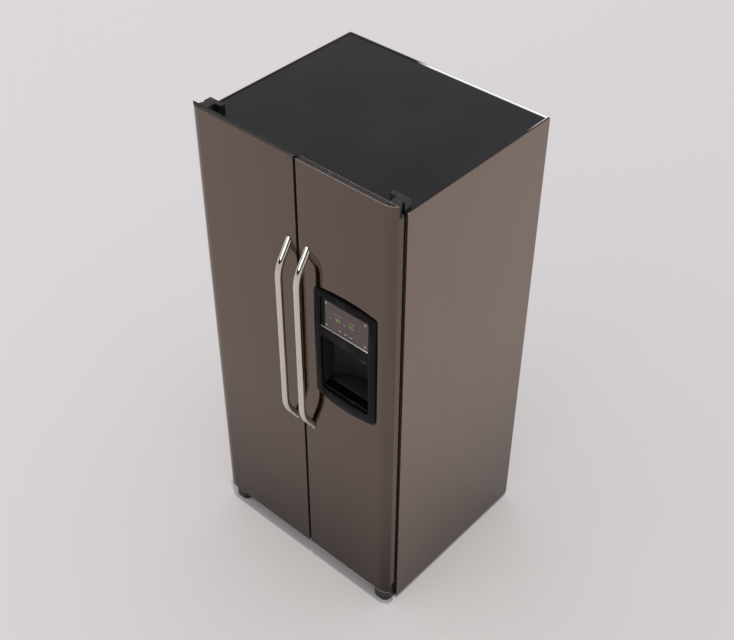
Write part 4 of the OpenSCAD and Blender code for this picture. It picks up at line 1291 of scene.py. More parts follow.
@dataclass
class DoorLeaf(Assembly):
    """One door: the rounded edges of its sheet, its free side's black strip and its fasteners.

    Attributes:
        side: Which door.
        slab_depth: Depth of its front slab.
        sweep: Width of the swept-back outer edge.
        bead: Radius of the rounded sheet edge.
        trim: How far the free side's black strip stands proud.
    """

    side: Side
    slab_depth: float = 20 * MM
    sweep: float = 40 * MM
    bead: float = 1.0 * MM
    trim: float = 0.7 * MM

    @property
    def body(self) -> str:
        """The door's body."""
        return self.side.word + "_door"

    def plan(self, inset: float) -> list[tuple[float, float]]:
        """The slab's front edge seen from above, from the free side to the tip.

        Args:
            inset: How far inside the sheet's face it runs.

        Returns:
            Its points.
        """
        low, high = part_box(self.body + "_panel")
        sign = self.side.value
        free = (low.x if sign > 0 else high.x) + sign * inset
        hinge = high.x if sign > 0 else low.x
        radius = (self.sweep**2 + self.slab_depth**2) / (2 * self.slab_depth)
        centre = (hinge - sign * self.sweep, low.y + radius)
        reach = math.asin((self.sweep - 2.2 * inset) / radius)
        arc = [reach * i / 10 for i in range(11)]
        points = [(free, low.y + inset)]
        for angle in arc:
            x = centre[0] + sign * (radius - inset) * math.sin(angle)
            points.append((x, centre[1] - (radius - inset) * math.cos(angle)))
        return points

    def build(self) -> None:
        """Builds the door's pieces."""
        self._edges()
        self._free_side()
        self._foot_screws()
        self._liner_corner()

    def _liner_corner(self) -> None:
        """Covers the outer top corner of the liner, beside the hinge."""
        low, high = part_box(self.body + "_panel")
        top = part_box(self.body + "_liner")[1].z
        out = high.x if self.side is Side.RIGHT else low.x
        ends = sorted(out - self.side.value * gap for gap in (13.8 * MM, 6.4 * MM))
        cover = Shape().block((ends[0], high.y + 2 * MM, top - 1.6 * MM),
                              (ends[1], high.y + 11.4 * MM, top + 0.6 * MM), 0.5 * MM)
        self.piece(self.side.word + "_liner_corner", cover, "seal_black", "gasket_rubber",
                   self.body)

    def _edges(self) -> None:
        """Runs beads along the sheet's upper and lower edges, with painted light per door."""
        low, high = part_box(self.body + "_panel")
        sign = self.side.value
        plan = self.plan(0.6 * self.bead)
        back = low.y + self.slab_depth - 0.5 * self.bead
        # Painted light: the right door's beads take the lighter copy of the edge metal as painted
        # highlight, the left door's the darker copy as painted shade.
        finish = "edge_bright" if self.side is Side.RIGHT else "edge_dim"
        for word, z in (("top", high.z - self.bead), ("foot", low.z + self.bead)):
            front = [(x, y, z) for x, y in plan]
            rear = [(plan[0][0], back, z), (plan[-1][0] - sign * 2 * MM, back, z)]
            for place, path in (("front", front), ("rear", rear)):
                self.tube(f"{self.body}_{word}_{place}_edge", path, self.bead, 0, finish,
                          "door_steel", self.body, sides=10)

    def _free_side(self) -> None:
        """Covers the sheet's free side, which faces the door gap, with a black strip."""
        low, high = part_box(self.body + "_panel")
        sign = self.side.value
        free = low.x if sign > 0 else high.x
        near, far = sorted((free + sign * 0.4 * MM, free - sign * self.trim))
        strip = Shape().block(
            (near, low.y + 1.2 * MM, low.z + 1 * MM),
            (far, low.y + self.slab_depth - 0.4 * MM, high.z - 1 * MM), 0.3 * MM,
        )
        self.piece(self.body + "_free_trim", strip, "seal_black", "gasket_rubber", self.body)

    def _foot_screws(self) -> None:
        """Sets the screws under the lower end cap."""
        low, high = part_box(self.body + "_panel")
        middle, spread = (low.x + high.x) / 2, (high.x - low.x) * 0.32
        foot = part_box(self.body + "_caps")[0].z
        spots = [(middle + i * spread, low.y + self.slab_depth * 0.5, foot) for i in (-1, 0, 1)]
        self.screws(self.body + "_foot_screws", spots, Axis.DOWN, 3.6 * MM, "bracket_steel",
                    "bracket_steel", self.body)


@dataclass
class BowHandle(Assembly):
    """A bow handle of smooth round tube, and the gaskets under its feet.

    Attributes:
        side: Which door it is on.
        bend: Radius of its two bends.
        lean: How far its legs turn away from upright, in radians.
        margin: How far the gaskets stand out round the feet.
        depth: Their thickness.
        sides: Faces round the tube.
    """

    side: Side
    bend: float = 123 * MM
    lean: float = math.radians(32.17)
    margin: float = 0.9 * MM
    depth: float = 0.8 * MM
    sides: int = 64

    def path(self, reach: float, half: float) -> list[tuple[Vector, Vector]]:
        """The tube's centre line, from its lower end to its upper end.

        Args:
            reach: Distance of the straight stretch from the door.
            half: Half the height between the two ends.

        Returns:
            Place and direction at each ring; y is 0 on the door and z is 0 half way up.
        """
        sag = self.bend * (1 - math.cos(self.lean))
        rise = self.bend * math.sin(self.lean) + (reach - sag) / math.tan(self.lean)
        straight = half - rise
        upper = []
        for i in range(17):
            angle = self.lean * i / 16
            place = Vector((0, self.bend * (1 - math.cos(angle)) - reach,
                            straight + self.bend * math.sin(angle)))
            upper.append((place, Vector((0, math.sin(angle), math.cos(angle)))))
        upper.append((Vector((0, 0, half)), upper[-1][1]))
        lower = [(Vector((0, p.y, -p.z)), Vector((0, -t.y, t.z))) for p, t in reversed(upper)]
        return lower + upper

    def _tube(self) -> None:
        """Sweeps the tube and ends its legs flat on the door."""
        node = self.side.word + "_handle"
        low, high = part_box(node)
        radius = (high.x - low.x) / 2 - 0.05 * MM
        reach = high.y - low.y - radius - 0.05 * MM
        half = (high.z - low.z) / 2 - radius / math.sin(self.lean)
        door = Vector(((low.x + high.x) / 2, high.y, (low.z + high.z) / 2))
        line = self.path(reach, half)
        rings = []
        bm = bmesh.new()
        for i, (place, way) in enumerate(line):
            out = Vector((0, -way.z, way.y))
            ring = []
            for j in range(self.sides):
                turn = 2 * math.pi * j / self.sides
                point = place + radius * (out * math.cos(turn) + Vector((math.sin(turn), 0, 0)))
                if i in (0, len(line) - 1):
                    point -= way * (point.y / way.y)
                ring.append(bm.verts.new(door + point))
            rings.append(ring)
        for first, second in zip(rings, rings[1:]):
            for j in range(self.sides):
                k = (j + 1) % self.sides
                bm.faces.new((first[j], first[k], second[k], second[j]))
        bm.faces.new(rings[0])
        bm.faces.new(rings[-1])
        bmesh.ops.recalc_face_normals(bm, faces=bm.faces)
        piece = settle(node + "_tube", finished(bm, node), self.palette["handle_chrome"],
                       self.side.word + "_door")
        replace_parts(piece, node)

    def feet(self) -> list[tuple[Vector, float, float]]:
        """Finds where the handle meets the door.

        Returns:
            Middle, half width and half height of each foot.
        """
        node = self.side.word + "_handle"
        low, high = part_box(node)
        middle = (low.z + high.z) / 2
        flat = [v.co for v in NODES[node].data.vertices if v.co.y > high.y - 0.01 * MM]
        spots = []
        for part in ([p for p in flat if p.z < middle], [p for p in flat if p.z > middle]):
            bottom, top = min(p.z for p in part), max(p.z for p in part)
            spot = Vector(((low.x + high.x) / 2, high.y, (bottom + top) / 2))
            spots.append((spot, (high.x - low.x) / 2, (top - bottom) / 2))
        return spots

    def build(self) -> None:
        """Builds the tube and both gaskets."""
        self._tube()
        shape = Shape()
        for spot, half_width, half_height in self.feet():
            wide, tall = half_width + self.margin, half_height + self.margin
            turns = [2 * math.pi * i / 40 for i in range(40)]
            outline = [(wide * math.cos(a), tall * math.sin(a)) for a in turns]
            shape.extruded(outline, self.depth, Matrix.Translation(spot) @ UPRIGHT, 0.25 * MM)
        self.piece(self.side.word + "_handle_gaskets", shape, "seal_black", "gasket_rubber",
                   self.side.word + "_door")


class Segment(Enum):
    """The seven strokes of a digit, as middle x, middle z and whether it is upright."""

    TOP = (0.0, 1.0, False)
    UPPER_LEFT = (-0.5, 0.5, True)
    UPPER_RIGHT = (0.5, 0.5, True)
    MIDDLE = (0.0, 0.0, False)
    LOWER_LEFT = (-0.5, -0.5, True)
    LOWER_RIGHT = (0.5, -0.5, True)
    FOOT = (0.0, -1.0, False)


@dataclass
class Display(Assembly):
    """The lit panel: its bezel, its lip and the marks on its glass.

    Attributes:
        body: The body it moves with.
        lap: How far the panel's carrier stands out round the window.
        bezel: Width of the black band at the window's left end.
        lip: Height of the bright lip along the window's lower edge.
        mark: Thickness of the marks.
    """

    body: str = "right_door"
    lap: float = 8 * MM
    bezel: float = 17 * MM
    lip: float = 2.6 * MM
    mark: float = 0.25 * MM

    DIGITS = {
        "0": "TOP UPPER_LEFT UPPER_RIGHT LOWER_LEFT LOWER_RIGHT FOOT",
        "3": "TOP UPPER_RIGHT MIDDLE LOWER_RIGHT FOOT",
        "5": "TOP UPPER_LEFT MIDDLE LOWER_RIGHT FOOT",
        "7": "TOP UPPER_RIGHT LOWER_RIGHT",
    }

    def __post_init__(self) -> None:
        """Measures the window."""
        low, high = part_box("display_panel")
        self.low = Vector((low.x + self.lap, low.y, low.z + self.lap))
        self.high = Vector((high.x - self.lap, high.y, high.z - self.lap))

    def at(self, across: float, down: float, out: float = 0.0) -> Vector:
        """A place on the glass.

        Args:
            across: Share of the window's width, from its left end.
            down: Share of its height, from its top.
            out: How far in front of the glass.

        Returns:
            The place.
        """
        size = self.high - self.low
        return Vector((
            self.low.x + across * size.x, self.low.y - out, self.high.z - down * size.z,
        ))

    def build(self) -> None:
        """Builds the panel's pieces."""
        self._frame()
        self._icons()
        self._print()
        self._numbers("37", (0.35, 0.53), "digit_lime")
        self._numbers("05", (0.635, 0.5), "digit_green")

    def _frame(self) -> None:
        """Makes the bezel and the bright lip."""
        low, high = self.low, self.high
        shape = Shape().block(
            (low.x + 0.2 * MM, low.y - 0.7 * MM, low.z + 0.4 * MM),
            (low.x + self.bezel, low.y + 1 * MM, high.z - 0.4 * MM), 0.3 * MM,
        )
        self.piece("display_bezel", shape, "bezel_black", "gloss_black", self.body)
        bar = Shape().block(
            (low.x + 0.2 * MM, low.y - 4.2 * MM, low.z - 0.1 * MM),
            (high.x - 0.2 * MM, low.y + 0.5 * MM, low.z + self.lip), 0.8 * MM, 3,
        )
        self.piece("display_lip", bar, "lip_bright", "handle_chrome", self.body)

    def _ring(self, shape: Shape, spot: Vector, outer: float, inner: float) -> None:
        """Adds a flat ring to a shape.

        Args:
            shape: The shape.
            spot: Its middle.
            outer: Its outer radius.
            inner: Its inner radius.
        """
        rim = [(inner, 0.0), (inner, self.mark), (outer, self.mark), (outer, 0.0), (inner, 0.0)]
        shape.turned(rim, spot, Axis.BACK_Y, 24)

    def _icons(self) -> None:
        """Makes the ring icons in the corners and the one in the middle."""
        rings, cores = Shape(), Shape()
        corners = ((0.112, 0.13), (0.112, 0.88), (0.92, 0.14), (0.92, 0.87))
        beside = ((0.2, 0.42), (0.2, 0.57), (0.8, 0.44), (0.8, 0.6))
        for spot in corners:
            self._ring(rings, self.at(*spot), 3.3 * MM, 2.4 * MM)
        for spots, radius in ((corners, 1.3 * MM), (beside, 1.6 * MM)):
            disc = [(0, 0), (radius, 0), (radius, self.mark), (0, self.mark)]
            for spot in spots:
                cores.turned(disc, self.at(*spot), Axis.BACK_Y, 16)
        self.piece("display_rings", rings, "print_white", "display_glass", self.body)
        self.piece("display_dots", cores, "print_dim", "display_glass", self.body)
        hub = Shape()
        self._ring(hub, self.at(0.49, 0.54), 4.6 * MM, 3.6 * MM)
        for i in range(5):
            turn = Matrix.Rotation(math.radians(72 * i), 4, "Y")
            blade = [(0.5 * MM, -0.5 * MM), (3.1 * MM, -1.2 * MM), (3.1 * MM, 1.0 * MM)]
            hub.extruded(blade, self.mark, Matrix.Translation(self.at(0.49, 0.54)) @ turn @ UPRIGHT)
        self.piece("display_fan_icon", hub, "print_dim", "display_glass", self.body)

    def _bars(self, spots: Sequence[tuple[float, float, float, float]]) -> Shape:
        """Small printed bars.

        Args:
            spots: Share across, share down, width and height of each.

        Returns:
            The shape.
        """
        shape = Shape()
        for across, down, width, height in spots:
            middle = self.at(across, down)
            half = Vector((width / 2, self.mark, height / 2))
            shape.block(middle - half, middle + Vector((half.x, 0, half.z)), 0.08 * MM, 1)
        return shape

    def _print(self) -> None:
        """Makes the rows of small bars over and under the numbers."""
        keys = [(across, 0.85, 9 * MM, 1.5 * MM) for across in (0.4, 0.515, 0.63)]
        self.piece("display_key_bars", self._bars(keys), "print_white", "display_glass", self.body)
        labels = []
        for start, count, down in ((0.27, 5, 0.35), (0.585, 4, 0.35)):
            for i in range(count):
                labels.append((start + 0.037 * i, down, 5.6 * MM, 2.2 * MM))
        self.piece("display_label_bars", self._bars(labels), "print_olive", "display_glass",
                   self.body)

    def _numbers(self, text: str, middle: tuple[float, float], finish: str) -> None:
        """Makes a seven-segment number.

        Args:
            text: Its digits.
            middle: Shares across and down of its middle.
            finish: Its finish.
        """
        half, pitch, stroke = 6.6 * MM, 10.5 * MM, 1.7 * MM
        shape = Shape()
        for i, digit in enumerate(text):
            centre = self.at(*middle) + Vector(((i - (len(text) - 1) / 2) * pitch, 0, 0))
            for name in self.DIGITS[digit].split():
                x, z, upright = Segment[name].value
                spot = centre + Vector((x * half, 0, z * half))
                size = (stroke / 2, 0.44 * half) if upright else (0.38 * half, stroke / 2)
                shape.block(spot - Vector((size[0], self.mark, size[1])),
                            spot + Vector((size[0], 0, size[1])), 0.1 * MM, 1)
        self.piece("display_number_" + text, shape, finish, "display_glass", self.body)


@dataclass
class Dispenser(Assembly):
    """The ice and water dispenser: its rounded fascia and the fittings of its well.

    Attributes:
        edge: Radius of the fascia's edges.
        body: The body it moves with.
    """

    edge: float = 2.4 * MM
    body: str = "right_door"

    def build(self) -> None:
        """Builds the dispenser's pieces."""
        self.recast("dispenser_fascia", self.edge, self.body, 4, 50)
        Display(self.palette, self.makers).build()
        self._nozzle()
        self._lamp()
        self._tray()
        self._paddle()

    def _nozzle(self) -> None:
        """Makes the collar and the ring round the water nozzle."""
        low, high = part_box("dispenser_housing")
        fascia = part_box("dispenser_fascia")[1]
        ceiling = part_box("chute_flap")[1].z + 2 * MM
        spot = ((low.x + high.x) / 2, fascia.y + 14 * MM, ceiling)
        collar = [(4.1, -1), (7.6, -1), (7.6, -2.4), (6.2, -3.6), (4.9, -5.6), (4.1, -5.6),
                  (4.1, -1)]
        shape = Shape().turned([(r * MM, z * MM) for r, z in collar], spot, Axis.Z, 28)
        tip = [(2.6, -15.2), (4.6, -15.2), (4.9, -14.4), (4.9, -12.2), (4.1, -12.2), (2.6, -15.2)]
        shape.turned([(r * MM, z * MM) for r, z in tip], spot, Axis.Z, 28)
        self.piece("nozzle_collar", shape, "chrome_trim", "gloss_black", self.body)

    def _lamp(self) -> None:
        """Makes the two lamps in the well's ceiling."""
        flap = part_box("chute_flap")
        ceiling = flap[1].z + 2 * MM
        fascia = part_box("dispenser_fascia")
        middle = (fascia[0].x + fascia[1].x) / 2
        for word, near, far in (("left", -96, -48), ("right", 22, 100)):
            lens = Shape().block(
                (middle + near * MM, fascia[1].y + 10 * MM, ceiling - 2.4 * MM),
                (middle + far * MM, fascia[1].y + 22 * MM, ceiling), 1.4 * MM, 3,
            )
            self.piece("well_lamp_" + word, lens, "lens_dark", "clear_plastic", self.body)

    def _tray(self) -> None:
        """Runs beads round the drip tray and lays a lighter plate on its rear as painted light."""
        low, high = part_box("drip_tray")
        middle = (low.x + high.x) / 2
        half = (high.x - low.x) / 2 - 1.6 * MM
        z = high.z
        front = [(middle - half, low.y + 1.6 * MM, z), (middle + half, low.y + 1.6 * MM, z)]
        self.tube("tray_front_bead", front, 0.9 * MM, 0, "tray_bead", "dark_plastic", self.body,
                  sides=8)
        rise = high.y - low.y
        step = low.y + 36 * MM
        radius = (half * half + rise * rise) / (2 * rise) if rise < half else rise
        centre_y = high.y - 1.6 * MM - radius
        reach = math.asin(min(1.0, half / radius))
        arc = [-reach + 2 * reach * i / 32 for i in range(33)]
        back = [
            (middle + radius * math.sin(a), centre_y + radius * math.cos(a), z) for a in arc
            if centre_y + radius * math.cos(a) > low.y + 4 * MM
        ]
        # Painted light: the back bead and the plate over the tray's rear take lighter copies of the
        # dark plastic, standing in for light reaching the back of the well.
        self.tube("tray_back_bead", back, 0.7 * MM, 0, "well_black", "dark_plastic", self.body,
                  sides=8)
        rear = [(p[0], p[1]) for p in back if p[1] > step]
        rear = [(rear[0][0], step)] + rear + [(rear[-1][0], step)]
        plate = Shape().extruded(rear, 1.6 * MM, Matrix.Translation((0, 0, z - 0.2 * MM)), 0.5 * MM)
        self.piece("tray_step", plate, "step_black", "dark_plastic", self.body)

    def _paddle(self) -> None:
        """Repeats grip ribs down the paddle's face."""
        low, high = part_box("dispenser_paddle")
        middle = (low.x + high.x) / 2
        face = high.y - 8.5 * MM
        first = low.z + 14 * MM
        rib = Shape().block(
            (middle - 15 * MM, face, first), (middle + 15 * MM, face + 1.4 * MM, first + 2 * MM),
            0.6 * MM,
        )
        self.grid("paddle_ribs", rib, "dark_plastic", "dark_plastic", 9, (0, 0, 5.5 * MM), "paddle")


@dataclass
class Hinges(Assembly):
    """The covers over the upper hinges and their screws.

    Attributes:
        edge: Radius of the covers' edges.
        screw: Radius of the screw heads.
    """

    edge: float = 1.8 * MM
    screw: float = 3.4 * MM

    def build(self) -> None:
        """Builds both covers."""
        for side in Side:
            node = "hinge_cover_" + side.word
            low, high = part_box(node)
            self.recast(node, self.edge, "cabinet", 3)
            inner = low.x if side is Side.RIGHT else high.x
            spot = (inner + side.value * 12 * MM, high.y - 9 * MM, high.z)
            self.screws(node + "_screw", [spot], Axis.Z, self.screw, "black_paint", "dark_plastic")
            self._lower_washer(side)

    def _lower_washer(self, side: Side) -> None:
        """Slips a washer over the lower pin, under the door.

        Args:
            side: Which side.
        """
        low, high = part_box("hinge_bottom_" + side.word)
        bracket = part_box(side.word + "_door_caps")[0].z
        radius = 10 * MM
        x = high.x - radius if side is Side.RIGHT else low.x + radius
        ring = [(5.4, -1.3), (8.6, -1.3), (9, -0.9), (9, -0.6), (5.4, -0.6), (5.4, -1.3)]
        shape = Shape().turned(
            [(r * MM, z * MM) for r, z in ring], (x, low.y + radius, bracket), Axis.Z, 32
        )
        self.piece(f"hinge_washer_{side.word}", shape, "brass", "bracket_steel")


@dataclass
class Feet(Assembly):
    """The lower corner covers, the grille, the levelling feet and the rear rollers.

    Attributes:
        edge: Radius of the covers' edges.
        pitch: Pitch of the levelling feet's thread.
    """

    edge: float = 2.5 * MM
    pitch: float = 1.75 * MM

    def build(self) -> None:
        """Builds the lower fittings."""
        self.recast("toe_grille", 1.0 * MM, "cabinet")
        for side in Side:
            self.recast("foot_cover_" + side.word, self.edge, "cabinet", 3)
            self._foot(side)
            self._roller(side)

    def _foot(self, side: Side) -> None:
        """Cuts a thread and grips for one levelling foot.

        Args:
            side: Which side.
        """
        node = "leveling_leg_" + side.word
        body = side.word + "_leg"
        low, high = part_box(node)
        centre = ((low.x + high.x) / 2, (low.y + high.y) / 2)
        bottom, top = low.z + 9.6 * MM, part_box("base_pan")[0].z - 0.6 * MM
        turns = max(1, int((top - bottom) / self.pitch))
        stem = max(v.co.x for v in NODES[node].data.vertices if v.co.z > high.z - MM) - centre[0]
        ring = [(stem - 0.2 * MM, 0), (stem + 0.5 * MM, 0.45 * MM), (stem - 0.2 * MM, 0.9 * MM)]
        thread = Shape().turned(ring + ring[:1], (*centre, bottom), Axis.Z, 24)
        self.grid(body + "_thread", thread, "bracket_steel", "bracket_steel", turns,
                  (0, 0, self.pitch), body)
        reach = (high.x - low.x) / 2
        grips = Shape()
        for i in range(24):
            angle = math.radians(15 * i)
            spot = Vector((
                centre[0] + (reach - 0.7 * MM) * math.cos(angle),
                centre[1] + (reach - 0.7 * MM) * math.sin(angle), low.z + 0.8 * MM,
            ))
            grips.turned([(0, 0), (0.9 * MM, 0), (0.9 * MM, 3.2 * MM), (0, 3.2 * MM)], spot,
                         Axis.Z, 8)
        self.piece(body + "_grips", grips, "roller_plastic", "bracket_steel", body)

    def _roller(self, side: Side) -> None:
        """Makes tread ribs round one rear roller.

        Args:
            side: Which side.
        """
        low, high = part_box("rear_roller_" + side.word)
        radius = (high.z - low.z) / 2
        middle = (low + high) / 2
        width = high.x - low.x - 3 * MM
        ring = [
            (radius - 0.6 * MM, -1.2 * MM), (radius - 0.05 * MM, -0.8 * MM),
            (radius - 0.05 * MM, 0.8 * MM), (radius - 0.6 * MM, 1.2 * MM),
            (radius - 0.6 * MM, -1.2 * MM),
        ]
        shape = Shape()
        for share in (-0.36, -0.12, 0.12, 0.36):
            shape.turned(ring, (middle.x + share * width, middle.y, middle.z), Axis.X, 40)
        self.piece(f"roller_tread_{side.word}", shape, "tray_bead", "roller_plastic",
                   side.word + "_roller")


@dataclass
class CabinetShell(Assembly):
    """The rims, corners and rear fasteners of the case.

    Attributes:
        rim: Radius of the rounded rear rim.
        screw: Radius of the rear screws.
    """

    rim: float = 3.2 * MM
    screw: float = 3.8 * MM

    def build(self) -> None:
        """Builds the shell's pieces."""
        self._rear_rim()
        self._corner()
        self._seams()
        self._rear_screws()
        self._rear_ribs()
        self._door_switches()

    def _rear_rim(self) -> None:
        """Rounds the rear rim and the rear half of the right-hand rim."""
        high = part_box("back_panel")[1]
        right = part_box("side_panel_right")[1]
        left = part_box("side_panel_left")[0]
        z = right.z - self.rim
        y = high.y - self.rim
        rear = [(left.x + 6 * MM, y, z), (right.x - 5.5 * MM, y, z)]
        # These rim pieces carry a painted highlight on their right-hand and rearmost stretches.
        self.tube("rear_rim_bead", rear, self.rim, 0, "rim_polish", "case_paint", sides=20)
        rolled = Shape().block((left.x + 7 * MM, high.y - 11 * MM, z + 0.4 * MM),
                               (right.x - 6 * MM, high.y - 1.2 * MM, right.z + 0.5 * MM), 0.6 * MM)
        self.piece("rear_rim_roll", rolled, "rim_polish", "case_paint")
        slim = 1.1 * MM
        x = right.x - 6.8 * MM
        z = right.z - 0.1 * MM
        side_rim = [(x, high.y - 6 * MM, z), (x, high.y - 0.3, z)]
        self.tube("right_rim_bead", side_rim, slim, 0, "rim_polish_y", "case_paint", sides=12)

    def _corner(self) -> None:
        """Makes the right-hand panel's rounded front corner as a painted highlight."""
        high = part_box("side_panel_right")[1]
        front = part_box("side_panel_right")[0].y
        arc = [math.radians(90 * i / 8) for i in range(9)]
        radius = 6 * MM
        base = (high.x - 1.3 * MM, front + 1.2 * MM, high.z - 5.3 * MM)
        path = [(base[0], base[1], base[2] - 5 * MM)] + [
            (base[0] - (1 - math.cos(a)) * 0.3 * radius, base[1] + radius * (1 - math.cos(a)),
             base[2] - radius + radius * math.sin(a) + 3 * MM)
            for a in arc
        ]
        # Painted highlight: the corner's bead takes the near-white lip finish, standing in for
        # light caught on the panel's rounded corner.
        self.tube("right_front_corner", path, 1.2 * MM, 0, "lip_bright", "case_paint", sides=10)

    def _seams(self) -> None:
        """Lays a black seam and a painted edge over the joint of the top with each side."""
        low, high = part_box("top_panel")
        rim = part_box("side_panel_right")[1].z
        parts = (
            ("top_seam_", -0.5 * MM, 2.6 * MM, 0.5 * MM, "seal_black", "gasket_rubber"),
            ("top_edge_", -5.5 * MM, -0.7 * MM, 0.3 * MM, "top_paint", "top_paint"),
        )
        for side in Side:
            for name, near, far, lift, finish, slot in parts:
                ends = sorted((side.value * (high.x + near), side.value * (high.x + far)))
                strip = Shape().block((ends[0], low.y + 4 * MM, high.z - 0.6 * MM),
                                      (ends[1], high.y - 4 * MM, rim + lift), 0.3 * MM)
                self.piece(name + side.word, strip, finish, slot)

    def _rear_screws(self) -> None:
        """Sets the screws of the rear panel and of the machine space's cover."""
        low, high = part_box("back_panel")
        rows = 7
        xs = (low.x + 12 * MM, high.x - 12 * MM)
        step = (high.z - low.z - 60 * MM) / (rows - 1)
        face = rear_face("back_panel") - 0.8 * MM
        spots = [(x, face, low.z + 20 * MM + i * step) for x in xs for i in range(rows)]
        self.screws("rear_panel_screws", spots, Axis.Y, self.screw, "bracket_steel", "grey_steel")
        low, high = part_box("compressor_cover")
        xs = [low.x + 14 * MM + i * (high.x - low.x - 28 * MM) / 5 for i in range(6)]
        spots = [(x, high.y, z) for x in xs for z in (low.z + 9 * MM, high.z - 9 * MM)]
        self.screws("rear_cover_screws", spots, Axis.Y, self.screw, "bracket_steel", "grey_steel")

    def _rear_ribs(self) -> None:
        """Stamps stiffening ribs into the rear panel."""
        low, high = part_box("back_panel")
        face = rear_face("back_panel")
        rise = high.z - low.z
        rib = Shape().block(
            (low.x + 70 * MM, face - 0.5 * MM, low.z + 0.14 * rise),
            (high.x - 70 * MM, face + 0.9 * MM, low.z + 0.14 * rise + 16 * MM), 1.2 * MM, 3,
        )
        self.grid("rear_ribs", rib, "grey_steel", "grey_steel", 5, (0, 0, 0.17 * rise))
        for word, x in (("left", low.x + 40 * MM), ("right", high.x - 40 * MM)):
            post = Shape().block(
                (x - 7 * MM, face - 0.5 * MM, low.z + 0.06 * rise),
                (x + 7 * MM, face + 0.9 * MM, high.z - 0.08 * rise), 1.2 * MM, 3,
            )
            self.piece("rear_post_rib_" + word, post, "grey_steel", "grey_steel")

    def _door_switches(self) -> None:
        """Makes the door switches' plungers in the front frame's upper rail."""
        low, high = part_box("front_frame")
        for side in Side:
            x = side.value * 150 * MM
            z = high.z - 20 * MM
            body = Shape().block((x - 11 * MM, low.y - 1.2 * MM, z - 7 * MM),
                                 (x + 11 * MM, low.y + 1 * MM, z + 7 * MM), 0.8 * MM)
            knob = [(0, -2), (3.2, -2), (3.2, 4.6), (2.4, 5.4), (0, 5.6)]
            body.turned([(r * MM, h * MM) for r, h in knob], (x, low.y - 1.2 * MM, z),
                        Axis.BACK_Y, 20)
            self.piece("door_switch_" + side.word, body, "liner_plastic", "liner_plastic")


def numeral(text: str, size: float, depth: float) -> bpy.types.Mesh:
    """The mesh of a plain number, centred in the XY plane and raised along +Z.

    Args:
        text: Its digits.
        size: Their height.
        depth: How far they are raised.

    Returns:
        The mesh.
    """
    curve = bpy.data.curves.new("numeral", "FONT")
    curve.body, curve.size, curve.extrude = text, size * 1.4, depth / 2
    curve.align_x, curve.align_y, curve.resolution_u = "CENTER", "CENTER", 3
    return captured(placed("numeral", curve))


@dataclass
class Dial(Assembly):
    """A temperature dial with its numbered scale, on a face that looks forward.

    Attributes:
        spot: Middle of the dial on that face.
        radius: Radius of the knob.
        steps: How many numbers it has.
    """

    spot: Point
    radius: float = 15 * MM
    steps: int = 7

    def build(self, name: str) -> None:
        """Builds the knob, its grip and its numbers.

        Args:
            name: The dial's name.
        """
        r = self.radius
        knob = [(0, -1 * MM), (r, -1 * MM), (r, 5 * MM), (r - 1 * MM, 6.4 * MM),
                (0.5 * r, 7 * MM), (0, 7 * MM)]
        shape = Shape().turned(knob, self.spot, Axis.BACK_Y, 40)
        x, y, z = self.spot
        shape.block((x - 2.4 * MM, y - 13 * MM, z - 0.86 * r),
                    (x + 2.4 * MM, y - 6 * MM, z + 0.86 * r), 1.2 * MM, 3)
        self.piece(name + "_knob", shape, "trim_plastic", "trim_plastic")
        marks = Shape()
        for i in range(self.steps):
            turn = math.radians(-120 + 240 * i / (self.steps - 1))
            reach = r + 6 * MM
            place = Matrix.Translation((
                x + reach * math.sin(turn), y - 0.1 * MM, z + reach * math.cos(turn),
            ))
            digit = numeral(str(i + 1), 5 * MM, 0.5 * MM)
            digit.transform(place @ UPRIGHT)
            marks.bm.from_mesh(digit)
            bpy.data.meshes.remove(digit)
        self.piece(name + "_numbers", marks, "cable", "trim_plastic")


